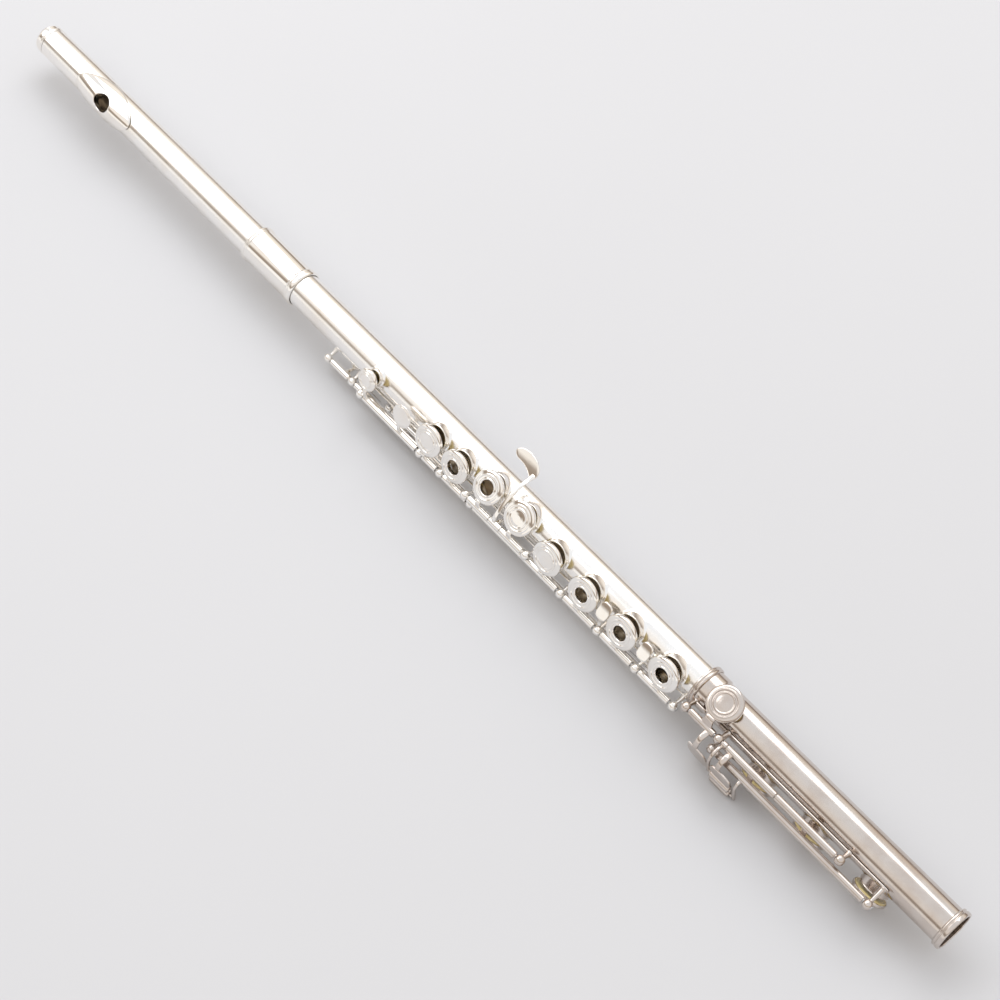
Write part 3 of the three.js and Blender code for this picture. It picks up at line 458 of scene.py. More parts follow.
def cut(piece, tools, inside=None):
    """Cuts the tools' shapes out of a piece, and keeps its walls smoothly curved."""
    tool = made("tool", together(tools), SILVER, "body_joint")
    outside = piece.data.materials[0]
    cutter = piece.modifiers.new("cut", "BOOLEAN")
    cutter.object, cutter.operation, cutter.solver = tool, "DIFFERENCE", "EXACT"
    dg = bpy.context.evaluated_depsgraph_get()
    result = bpy.data.meshes.new_from_object(piece.evaluated_get(dg))
    piece.modifiers.clear()
    old, piece.data = piece.data, result
    bpy.data.meshes.remove(old)
    bpy.data.objects.remove(tool)
    mesh = piece.data
    mesh.materials.clear()
    mesh.materials.append(outside)
    if inside:
        mesh.materials.append(inside)
    mesh.shade_smooth()
    mesh.set_sharp_from_angle(angle=math.radians(30))
    normals = [(0, 0, 0)] * len(mesh.loops)
    for face in mesh.polygons:
        c = face.center
        radial = Vector((0, c.y - AXIS.y, c.z - AXIS.z))
        height = radial.length
        facing = face.normal.dot(radial.normalized())
        if abs(facing) < 0.9:
            continue
        if facing < 0 and inside:
            face.material_index = 1
        if height > 10.3 * MM:
            continue
        for k in face.loop_indices:
            v = mesh.vertices[mesh.loops[k].vertex_index].co
            out = Vector((0, v.y - AXIS.y, v.z - AXIS.z)).normalized()
            normals[k] = tuple(out if facing > 0 else -out)
    mesh.normals_split_custom_set(normals)
    return piece


# ---- tubes --------------------------------------------------------------------------
def head_bore(x):
    t = min(max((TAPER_END - x) / (TAPER_END - HEAD_TOP), 0), 1)
    return BORE_R - (1 - math.sqrt(1 - 0.75 * t * t)) * 2


def hole_cutter(hole):
    x, _, r, angle, rim = HOLES[hole]
    drum = turned([(5, 0), (5, r - 0.5), (rim + 1, r - 0.5), (rim + 1, 0)], 64, outward=True)
    return placed(moved(drum, x), lying(angle))


def head():
    outside = [(x, head_bore(x) + 0.4) for x in np.linspace(HEAD_TOP, TAPER_END, 24)]
    inside = [(x, head_bore(x)) for x in np.linspace(TAPER_END, HEAD_TOP, 12)]
    profile = outside + [(BARREL_START - 1.5, TUBE_R), (BARREL_START - 0.8, TUBE_R - 0.15),
                         (TENON_END - 0.3, TUBE_R - 0.15), (TENON_END, TUBE_R - 0.3), (TENON_END, BORE_R)] + inside
    tube = made("head_joint_tube", placed(turned(profile, 96), lying()), SILVER, "head_joint",
                ("head_tube",), "silver")
    drum = slab(oval(0, 0, BLOW_HALF_LENGTH, BLOW_HALF_WIDTH), 4, 14, edge=0.05)
    cut(tube, [placed(drum, lying(LIP_ANGLE))], INSIDE)


def tube_with_chimneys(name, profile, holes, node, body):
    tube = made(name, placed(turned(profile, 96), lying()), SILVER, body, (node,), "silver")
    # The foot joint's bore gets the darker lining: painted shade.
    cut(tube, [hole_cutter(h) for h in holes], SHADED_FOOT_BORE if body == "foot_joint" else INSIDE)
    made(name + "_chimneys", together([chimney(h) for h in holes]), SILVER, body, (), "silver")


def chimney(hole):
    """A tone hole drawn up out of the tube: a flared foot, a thin wall and a rolled rim."""
    x, _, r, angle, rim = HOLES[hole]
    r_in = r - 0.5
    # (distance from the hole's axis, height, measured from: 1 the tube's surface, 0 its axis, -1 the bore)
    walk = [(r + 1.5, -0.12, 1), (r + 1.1, 0.05, 1), (r + 0.6, 0.2, 1), (r + 0.25, 0.5, 1), (r + 0.06, 0.95, 1),
            (r - 0.02, rim - 1.1, 0), (r, rim - 0.75, 0)]
    bead = 0.36
    for k in range(9):
        t = math.radians(-60 + 30 * k)
        walk.append((r - 0.14 + bead * math.cos(t), rim - bead + bead * math.sin(t), 0))
    walk += [(r_in, rim - 0.8, 0), (r_in, 0.5, -1), (r_in + 0.05, 0.12, -1)]
    rings = []
    for rho, h, base in walk:
        ring = []
        for i in range(72):
            t = 2 * math.pi * i / 72
            u, v = rho * math.cos(t), rho * math.sin(t)
            level = 0.0
            if base:
                level = math.sqrt((TUBE_R if base > 0 else BORE_R) ** 2 - min(abs(v), 9.4) ** 2)
            ring.append((u, v, level + h))
        rings.append(ring)
    return placed(moved(rings_joined(rings, closed=True), x), lying(angle))


def collar(name, profile, finish, body, node, radius=0.25):
    made(name, placed(turned(filleted(profile, radius), 96), lying()), finish, body, (node,), "bright")


def tubes_and_rings():
    head()
    tube_with_chimneys(
        "body_joint_tube",
        [(BODY_START, TUBE_R - 0.1), (BARREL_END + 0.4, TUBE_R - 0.1), (BARREL_END + 0.8, TUBE_R),
         (BODY_SHOULDER - 0.6, TUBE_R), (BODY_SHOULDER, TUBE_R - 0.1), (FOOT_TENON_END, TUBE_R - 0.1),
         (FOOT_TENON_END, BORE_R), (BODY_START, BORE_R)],
        [h for h in HOLES if h not in FOOT_HOLES], "body_tube", "body_joint")
    tube_with_chimneys(
        "foot_joint_tube",
        [(FOOT_START, 10.1), (FOOT_START, 10.5), (FOOT_TENON_END + 1.2, 10.5), (FOOT_TENON_END + 2, TUBE_R),
         (FOOT_END - 0.4, TUBE_R), (FOOT_END - 0.4, BORE_R), (FOOT_TENON_END + 0.5, BORE_R),
         (FOOT_TENON_END + 0.5, 10.1)],
        FOOT_HOLES, "foot_tube", "foot_joint")
    s, e = BARREL_START, BARREL_END
    collar("barrel_sleeve", [
        (s, 10.1), (s, 10.75), (s + 0.35, RING_R), (s + 1.1, RING_R + 0.1), (s + 1.5, 10.8), (s + 1.8, 10.8),
        (s + 2.1, RING_R - 0.05), (s + 2.7, RING_R - 0.05), (s + 3.1, 10.62), (e - 4.8, 10.62),
        (e - 4.3, RING_R - 0.1), (e - 3.5, RING_R), (e - 3.1, 10.75), (e - 2.8, 10.75), (e - 2.4, RING_R + 0.1),
        (e - 0.9, RING_R + 0.05), (e - 0.2, 10.7), (e, 10.4), (e, 10.1)], BRIGHT, "body_joint", "barrel")
    s = FOOT_START
    collar("receiver_ring", [
        (s - 0.2, 10.55), (s - 0.2, RING_R - 0.1), (s + 0.2, RING_R + 0.3), (s + 1, RING_R + 0.4),
        (s + 1.3, RING_R), (s + 1.6, RING_R), (s + 1.9, RING_R + 0.35), (s + 2.7, RING_R + 0.3),
        (s + 3.4, 10.9), (s + 3.4, 10.55)], BRIGHT, "foot_joint", "foot_receiver_ring")
    e = FOOT_END
    collar("bell_ring", [
        (e - 4.4, 10.0), (e - 4.4, 10.45), (e - 3.9, RING_R - 0.15), (e - 3.2, RING_R - 0.05), (e - 2.9, 10.8),
        (e - 2.6, 10.8), (e - 2.2, RING_R), (e - 0.5, RING_R), (e, RING_R - 0.35), (e, 10.0)],
        BRIGHT, "foot_joint", "foot_bell_ring")
    rim = head_bore(HEAD_TOP) + 0.5
    s, t = CROWN_END, HEAD_TOP
    dome = [(s + 0.02, 0), (s + 0.1, rim * 0.2), (s + 0.35, rim * 0.45), (s + 0.95, rim * 0.68),
            (s + 1.7, rim * 0.83), (s + 2.6, rim * 0.93), (s + 3.4, rim * 0.97), (s + 3.7, rim * 0.93),
            (s + 4.0, rim), (t - 2.4, rim), (t - 2.0, rim + 0.12), (t - 1.5, rim), (t - 1.25, rim - 0.35),
            (t - 0.95, rim), (t - 0.3, rim), (t - 0.3, 7.6), (t + 5, 7.6), (t + 5, 2), (t - 5, 2), (t - 5, 0)]
    made("crown_cap", placed(turned(filleted(dome, 0.25, 3, ring=False), 96), lying()), BRIGHT, "crown_cap",
         ("crown",), "bright")


# ---- lip plate ------------------------------------------------------------------------
def lip_height(x):
    t = (x - (LIP_START + LIP_END) / 2) / ((LIP_END - LIP_START) / 2)
    return LIP_R - 2.5 * t * t


def lip_plate():
    """A saddle of sheet, drawn between the blow hole's edge and its own oval edge."""
    mid, half = (LIP_START + LIP_END) / 2, (LIP_END - LIP_START) / 2
    hole = oval(0, 0, BLOW_HALF_LENGTH, BLOW_HALF_WIDTH, 128)
    edge = oval(mid, 0, half, LIP_REACH, 128)
    thick = 0.9

    def loop(share, drop):
        ring = []
        for (hx, hf), (ex, ef) in zip(hole, edge):
            x, f = hx + (ex - hx) * share, hf + (ef - hf) * share
            r = lip_height(x) - 2.4 * (f / LIP_REACH) ** 2
            keep = 1 - drop / r
            ring.append((x, f * keep, math.sqrt(r * r - f * f) * keep))
        return ring

    rings = [loop(0.0, 0.45), loop(0.004, 0.2), loop(0.015, 0.06)]
    rings += [loop(s, 0.0) for s in np.linspace(0.05, 0.95, 16)]
    rings += [loop(0.985, 0.06), loop(1.0, 0.28), loop(1.0, 0.62), loop(0.985, 0.84)]
    rings += [loop(s, thick) for s in np.linspace(0.95, 0.05, 10)]
    rings += [loop(0.0, 0.8)]
    made("lip_plate_saddle", placed(rings_joined(rings, closed=True), lying(LIP_ANGLE)), BRIGHT, "head_joint",
         ("lip_plate",), "bright")
    under = []
    for grow, h, flat in [(0, 12.3, 1), (0, 9.6, 0), (1.3, 9.6, 0), (1.5, 12.2, 1)]:
        ring = []
        for x, f in oval(0, 0, BLOW_HALF_LENGTH + grow, BLOW_HALF_WIDTH + grow, 96):
            r = lip_height(x) - 2.4 * (f / LIP_REACH) ** 2 - 0.95
            ring.append((x, f, math.sqrt(r * r - f * f) if flat else math.sqrt(9.45 ** 2 - f * f)))
        under.append(ring)
    made("blow_hole_riser", placed(rings_joined(under, closed=True), lying(LIP_ANGLE)), SILVER, "head_joint",
         ("lip_riser",), "silver")


# ---- hinge work -------------------------------------------------------------------------
def on_line(shape, line):
    y, z = line_point(line)
    return moved(shape, 0, y, z)


def hinge_tube(line, x0, x1, solid=False):
    bore = 0.0 if solid else HINGE_BORE_R
    r = HINGE_R
    if solid:
        profile = [(x0, 0), (x0, r - 0.18), (x0 + 0.18, r), (x1 - 0.18, r), (x1, r - 0.18), (x1, 0)]
    else:
        profile = [(x0, bore), (x0, r - 0.18), (x0 + 0.18, r), (x1 - 0.18, r), (x1, r - 0.18), (x1, bore)]
    return on_line(turned(profile, 32), line)


def steel(line, x0, x1, r=STEEL_R):
    profile = [(x0, 0), (x0, r - 0.2), (x0 + 0.2, r), (x1 - 0.2, r), (x1, r - 0.2), (x1, 0)]
    return on_line(turned(profile, 24), line)


def post(x, rib_angle, line, stem=1.4):
    """A pivot post: a round foot on the rib, a waisted stem and a drilled ball."""
    by, bz = line_point((TUBE_R + 1.0, rib_angle))
    ty, tz = line_point(line)
    run = Vector((0, ty - by, tz - bz))
    length = run.length
    profile = [(-0.55, 0), (-0.55, stem + 0.55), (-0.1, stem + 0.5), (0.35, stem + 0.1), (length * 0.4, stem - 0.28),
               (length - 2.6, 1.0), (length - 2.1, 1.3), (length - 1.6, 1.1), (length - 1.5, 0)]
    stalk = turned(filleted(profile, 0.5, 3, ring=False), 28)
    turn = run.to_track_quat("X", "Z").to_matrix().to_4x4()
    stalk = placed(stalk, Matrix.Translation((x, by, bz)) @ turn)
    low = math.asin(HINGE_BORE_R / BALL_R)
    knob = [(x - BALL_R * math.cos(t), BALL_R * math.sin(t)) for t in np.linspace(low, math.pi - low, 14)]
    return [stalk, on_line(turned(knob, 36), line)]


def rib(x0, x1, angle, half_width, inner=TUBE_R + 0.3):
    """A strap soldered along the tube, its edges and ends rounded."""
    outline = []
    for i in range(17):
        t = math.pi * (i / 16) - math.pi / 2
        outline.append((x1 - half_width + half_width * math.cos(t), half_width * math.sin(t)))
    for i in range(17):
        t = math.pi * (i / 16) + math.pi / 2
        outline.append((x0 + half_width + half_width * math.cos(t), half_width * math.sin(t)))
    dense = []
    for a, b in zip(outline, outline[1:] + outline[:1]):
        count = max(1, int(abs(a[0] - b[0]) / 6))
        dense += [(a[0] + (b[0] - a[0]) * k / count, a[1] + (b[1] - a[1]) * k / count) for k in range(count)]
    points, faces = [], []
    rings = []
    for inset, h in [(0, 0.0), (0, 0.5), (0.1, 0.7), (0.3, 0.8)]:
        rings.append([(x, f * (1 - inset / half_width), h + math.sqrt(inner ** 2 - f * f)) for x, f in dense])
    points, faces = rings_joined(rings, closed=False)
    count = len(dense)
    faces.append(list(range(count)))
    top = list(range(3 * count, 4 * count))
    faces.append(top)
    return placed((points, faces), Matrix.Rotation(math.radians(angle), 4, "X"))


POSTS = [
    ("main_rib", "body_joint", [(MAIN_LINE, 62, 1.4, (240, 288, 304, 328, 396, 423, 450, 476.5)),
                                (G_LINE, 57, 1.1, (324.6, 370.6))], [(236.5, 478, 62, 1.6, TUBE_R + 0.3)]),
    ("back_rib", "body_joint", [(TRILL_LINE, 84, 1.4, (208, 228, 427, 457.5)),
                                (THUMB_LINE, 86, 1.4, (251, 298))], [(205.5, 460, 84, 1.5, TUBE_R + 0.3)]),
    ("foot_rib", "foot_joint", [(FOOT_LINE, 19.3, 1.4, (484, 506, 585)), (LOW_B_LINE, 21.3, 1.4, (506, 607))],
     [(489.9, 609.5, 19.3, 1.15, TUBE_R + 0.3), (482.8, 491.5, 19.3, 1.15, 10.8)]),
]
STEELS = {
    "steel_upper_stack": (MAIN_LINE, 238, 327.8, "body_joint"),
    "steel_lower_stack": (MAIN_LINE, 328.2, 478.5, "body_joint"),
    "steel_thumb": (THUMB_LINE, 249, 300, "body_joint"),
    "steel_d_sharp": (FOOT_LINE, 482, 505.6, "foot_joint"),
    "steel_low_b": (LOW_B_LINE, 504, 609, "foot_joint"),
}


def screw_head(line, x, toward):
    """A steel head let into the end ball."""
    profile = [(0, 0), (0, 1.15), (0.35 * toward, 1.15), (0.45 * toward, 1.0), (0.3 * toward, 0.4), (0.3 * toward, 0)]
    return moved(on_line(turned(profile, 24), line), x)


def ribs_and_posts():
    for node, body, rows, straps in POSTS:
        shapes = [rib(*s) for s in straps]
        for line, angle, stem, stations in rows:
            for x in stations:
                shapes += post(x, angle, line, stem)
        made(node + "_and_posts", placed(together(shapes), lying()), SILVER, body, (node,), "silver")
    for node, (line, x0, x1, body) in STEELS.items():
        made(node + "_rod", placed(steel(line, x0, x1), lying()), STEEL, body, (node,), "steel")
    ends = [(MAIN_LINE, 240 - 2.2, -1), (MAIN_LINE, 476.5 + 2.2, 1), (THUMB_LINE, 251 - 2.2, -1),
            (THUMB_LINE, 298 + 2.2, 1)]
    made("body_screw_heads", placed(together([screw_head(*e) for e in ends]), lying()), STEEL, "body_joint",
         (), "steel")
    ends = [(FOOT_LINE, 484 - 2.2, -1), (LOW_B_LINE, 607 + 2.2, 1)]
    made("foot_screw_heads", placed(together([screw_head(*e) for e in ends]), lying()), STEEL, "foot_joint",
         (), "steel")


SPRINGS = [
    ("body_joint", MAIN_LINE, [(288, -1, 16), (304, 1, 14), (328, -1, 15), (396, 1, 17), (396, -1, 17),
                               (423, 1, 16), (450, 1, 16), (450, -1, 15)], 66),
    ("body_joint", TRILL_LINE, [(228, 1, 20), (457.5, -1, 18)], 84),
    ("foot_joint", FOOT_LINE, [(506, 1, 20), (585, -1, 24), (506, -1, 14)], 19.3),
]


def needle_springs():
    """Thin spring wires, each let into its post beside the hinge tube it turns."""
    for number, (body, line, rows, rib_angle) in enumerate(SPRINGS):
        y, z = line_point((line[0] - 2.7, line[1] + (6 if rib_angle > line[1] else -2)))
        shapes = []
        for x, toward, length in rows:
            path = [(x, y, z), (x + toward * length * 0.5, y, z), (x + toward * length, y * 1.015, z * 1.03)]
            taper = [0.42, 0.36, 0.26]
            shapes.append(swept(path, taper, taper, across=(0, 1, 0), segments=10, square=1))
        made(f"needle_springs_{number}", placed(together(shapes), lying()), SPRING, body, (), "steel")


# ---- cups and pads ---------------------------------------------------------------------
def ring_cup(r, rim):
    o = rim - RIM
    points = [(4.0, 13.2), (4.0, 15.7), (4.3, 16.05), (4.8, 16.05), (5.2, 15.6), (6.2, 15.55), (6.55, 15.98),
              (7.0, 16.02), (7.4, 15.68), (r - 0.9, 15.55), (r - 0.2, 15.12), (r, 14.7), (r, 13.3),
              (r - 0.45, 13.3), (r - 0.45, 15.2), (4.45, 15.2), (4.45, 13.2)]
    return cup_turned([(a, b + o) for a, b in points])


def plain_cup(r, rim):
    o = rim - RIM
    k = r / 9.3
    points = [(0, 16.12), (1.6 * k, 16.09), (3.2 * k, 15.98), (4.3 * k, 15.84), (4.6 * k, 15.9), (4.9 * k, 16.08),
              (5.3 * k, 16.08), (5.6 * k, 15.6), (6.2 * k, 15.55), (6.5 * k, 15.95), (7.1 * k, 15.98),
              (7.4 * k, 15.62), (r - 0.9 * k, 15.5), (r - 0.2, 15.1),
              (r, 14.7), (r, 13.3), (r - 0.45, 13.3), (r - 0.45, 15.2), (0, 15.2)]
    return cup_turned([(a, b + o) for a, b in points])


def pad(hole, ring):
    """Felt in yellow skin: rounded, with the seat of the chimney's rim pressed into it."""
    x, cup, r, angle, rim = HOLES[hole]
    low, high, edge = rim + 0.3, rim + 2.5, cup - 0.62
    points = []
    points += [(FINGER_HOLE_R + 0.7, low + 0.3)] if ring else [(0, low + 0.25), (r * 0.5, low + 0.2)]
    points += [(r - 1.3, low + 0.12), (r - 0.7, low + 0.16), (r - 0.25, low + 0.42), (r + 0.2, low + 0.18),
               (edge - 0.7, low + 0.02), (edge - 0.15, low + 0.3), (edge, low + 0.8), (edge, high)]
    points += [(FINGER_HOLE_R + 0.7, high)] if ring else [(0, high)]
    return moved(cup_turned(points, 0.45), x)


def arm(line, angle, points, widths, depths, x, lean=0.0):
    """A bar from inside the hinge tube's wall out along (f, height) points of a frame."""
    hinge = line_point(line, angle)
    path = [(x + lean, hinge[0], hinge[1])] + [(x, f, n) for f, n in points]
    first, second = np.array(path[0]), np.array(path[1])
    path[0] = tuple(first + (second - first) / np.linalg.norm(second - first) * 1.45)
    return swept(path, widths, depths)


def cup_arm(line, hole, width=3.0, lean=0.0, offset=0.0):
    x, cup, _, angle, rim = HOLES[hole]
    side = math.copysign(1, line_point(line, angle)[0])
    ends = [(side * (cup + 0.9), rim + 2.25), (side * (cup - 0.25), rim + 2.2)]
    return arm(line, angle, ends, [width * 1.25, width * 0.9, width], [1.9, 1.5, 1.5], x + offset, lean)


# ---- keys --------------------------------------------------------------------------------
def key(name, node, body, line, opened, straight, framed):
    """One key: hinge work in the flute's own frame, the rest in frames round the tube."""
    shapes = [placed(s, lying(0, line, opened)) for s in straight]
    shapes += [placed(s, lying(angle, line, opened)) for angle, s in framed]
    made(name, together(shapes), BRIGHT, body, (node,), "bright")


def stack_key(name, hole, tube, ring):
    x, cup, _, angle, rim = HOLES[hole]
    top = ring_cup(cup, rim) if ring else plain_cup(cup, rim)
    framed = [(angle, cup_arm(MAIN_LINE, hole)), (angle, moved(top, x))]
    key(name + "_key_work", name + "_key", name + "_assy", MAIN_LINE, STACK_OPEN,
        [hinge_tube(MAIN_LINE, *tube), adjusting_lug(MAIN_LINE, tube[1] - 3.2)], framed)


def adjusting_lug(line, x):
    """A small lug under the hinge tube, with its adjusting screw."""
    y, z = line_point(line)
    lug = swept([(x, y - 1.2, z - 0.4), (x, y - 2.4, z - 1.2)], [2.2, 1.8], [1.2, 0.9], steps=3)
    profile = [(-0.9, 0), (-0.9, 0.5), (-0.8, 0.6), (0.8, 0.6), (0.9, 0.5), (0.9, 0)]
    head = moved(turned(profile, 16), x, y - 2.5, z - 1.2)
    return together([lug, head])


def stack_keys():
    disc = [(0, 16.3), (3.2, 16.22), (4.9, 16.35), (5.4, 16.25), (5.7, 15.95), (6.3, 15.9), (6.6, 15.5), (6.2, 15.1),
            (0, 15.1)]
    x, cup, _, angle, rim = HOLES["c_sharp"]
    key("c_sharp_key_work", "c_sharp_key", "c_sharp_assy", MAIN_LINE, STACK_OPEN,
        [hinge_tube(MAIN_LINE, 242.9, 285.1), adjusting_lug(MAIN_LINE, 256)],
        [(0, cup_arm(MAIN_LINE, "c_sharp", 2.4, offset=1.4)), (0, moved(plain_cup(cup, rim), x)),
         (0, arm(MAIN_LINE, 0, [(-8.5, 14.6), (-5, 15.4)], [3.2, 2.4, 2.6], [1.7, 1.4, 1.3], 272)),
         (0, moved(cup_turned(disc), 272))])
    stack_key("b_flat", "b_flat", (290.9, 301.1), ring=False)
    stack_key("a", "a", (306.9, 325.1), ring=True)
    stack_key("f_sharp", "f_sharp", (330.9, 393.1), ring=False)
    stack_key("f", "f", (398.9, 420.1), ring=True)
    stack_key("e", "e", (425.9, 447.1), ring=True)
    stack_key("d", "d", (452.9, 473.6), ring=True)
    upper, lower = HOLES["g_upper"], HOLES["g_lower"]
    key("g_key_work", "g_key", "g_assy", G_LINE, STACK_OPEN,
        [steel(G_LINE, 322.6, 372.6), hinge_tube(G_LINE, 327.5, 343.2, True), hinge_tube(G_LINE, 351.8, 367.7, True)],
        [(upper[3], cup_arm(G_LINE, "g_upper")), (upper[3], moved(ring_cup(upper[1], RIM), upper[0])),
         (lower[3], cup_arm(G_LINE, "g_lower")), (lower[3], moved(plain_cup(lower[1], RIM), lower[0]))])


def round_path(low, high, step, r=13.2):
    return [(-r * math.sin(math.radians(a)), r * math.cos(math.radians(a))) for a in np.arange(low, high, step)]


def g_sharp_key():
    """The little-finger spoon reaches over the tube; the cup hangs on the far side."""
    x, cup, _, angle, rim = HOLES["g_sharp"]
    far = math.hypot(cup + 0.1, rim + 2.6)
    end = math.radians(angle) - math.atan2(cup + 0.1, rim + 2.6)
    reach = round_path(42, 99, 8) + [(-far * math.sin(end), far * math.cos(end))]
    over = [(-11, 13.9), (-5, 15.2), (4, 15), (10, 13), (14.5, 9.6), (17.5, 7.8)]
    spoon = smooth_line([(346.8, 14.8), (348, 18.4), (346.6, 22), (342.5, 24.4), (336.5, 25.3), (331.8, 24),
                         (330, 21.2), (332.5, 18.8), (337.5, 18.4), (342, 16.8), (345, 14.6)], 8)
    dish = lambda x, f: 8.25 - 0.35 * math.cos((x - 338) / 8) - 0.012 * (f - 21) ** 2
    key("g_sharp_key_work", "g_sharp_key", "g_sharp_assy", G_LINE, 0,
        [hinge_tube(G_LINE, 343.5, 351.5)],
        [(-18, arm(G_LINE, -18, over, [2.6, 2.2, 2.2, 2.6], [1.5, 1.3, 1.2, 1.1], 346.2)),
         (-18, slab(spoon, lambda x, f: dish(x, f) - 1.05, dish, edge=0.4)),
         (0, arm(G_LINE, 0, reach, [2.6, 2.2, 2.6], [1.5, 1.3, 1.4], 347.3)),
         (angle, moved(plain_cup(cup, rim), x))])


def trill_keys():
    leaning = lambda x, f: 15.9 - 0.16 * f - 0.01 * f * f
    touch = lambda x0: slab(oval(x0 + 3.5, -0.2, 3.5, 4.8, 64, 0.62), lambda x, f: leaning(x, f) - 1.1, leaning)
    for name, tube, x, touch_x, arm_x, cup_x in (
            ("d_trill", [hinge_tube(TRILL_LINE, 230.9, 424.1)], "d_trill", 418.6, 419.7, 0.1),
            ("d_sharp_trill", [steel(TRILL_LINE, 206.4, 459.2), hinge_tube(TRILL_LINE, 210.9, 225.1, True),
                               hinge_tube(TRILL_LINE, 429.9, 454.6, True)], "d_sharp_trill", 447.4, 453.3, 0.1)):
        x, cup, _, angle, rim = HOLES[name]
        dive = round_path(62, 21, -10) + [(-4.2, 14.9), (-2.6, 15.4)]
        key(name + "_key_work", name + "_key", name + "_assy", TRILL_LINE, 0, tube,
            [(angle, cup_arm(TRILL_LINE, name, 2.2, offset=cup_x)), (angle, moved(plain_cup(cup, rim), x)),
             (0, arm(TRILL_LINE, 0, dive, [2.4, 2.1, 2.2], [1.5, 1.3, 1.2], arm_x)),
             (0, touch(touch_x))])


def thumb_keys():
    x, cup, _, angle, rim = HOLES["thumb"]
    top = rim + 3.5
    disc = [(0, top + 2.0), (3, top + 1.95), (5.6, top + 1.8), (7.2, top + 1.35), (7.5, top + 1.0), (7.1, top + 0.6),
            (4, top - 0.3), (0, top - 0.3)]
    key("thumb_key_work", "thumb_key", "thumb_assy", THUMB_LINE, LOW_OPEN, [hinge_tube(THUMB_LINE, 253.9, 278)],
        [(angle, cup_arm(THUMB_LINE, "thumb", 2.8)), (angle, moved(plain_cup(cup, rim), x)),
         (angle, moved(cup_turned(disc, 0.4), x))])
    lever = slab(oval(285.6, -1, 7.4, 5.4), 14.7, lambda x, f: 15.9 - 0.008 * (x - 285.6) ** 2)
    key("b_flat_lever_work", "b_flat_lever", "b_flat_lever_assy", THUMB_LINE, LOW_OPEN,
        [hinge_tube(THUMB_LINE, 278.6, 295.1)],
        [(angle, arm(THUMB_LINE, angle, [(8.5, 14), (3.5, 15.2)], [2.8, 2.4, 2.6], [1.5, 1.4, 1.2], 286.4)),
         (angle, lever)])


def roller(y, x0=511.6, x1=524.1, r=2.2, bore=0.98):
    profile = [(x0, bore), (x0, r - 0.5), (x0 + 0.5, r - 0.05), (x0 + 2, r), (x1 - 2, r), (x1 - 0.5, r - 0.05),
               (x1, r - 0.5), (x1, bore)]
    return moved(turned(filleted(profile, 0.3), 48), 0, y, 24.6)


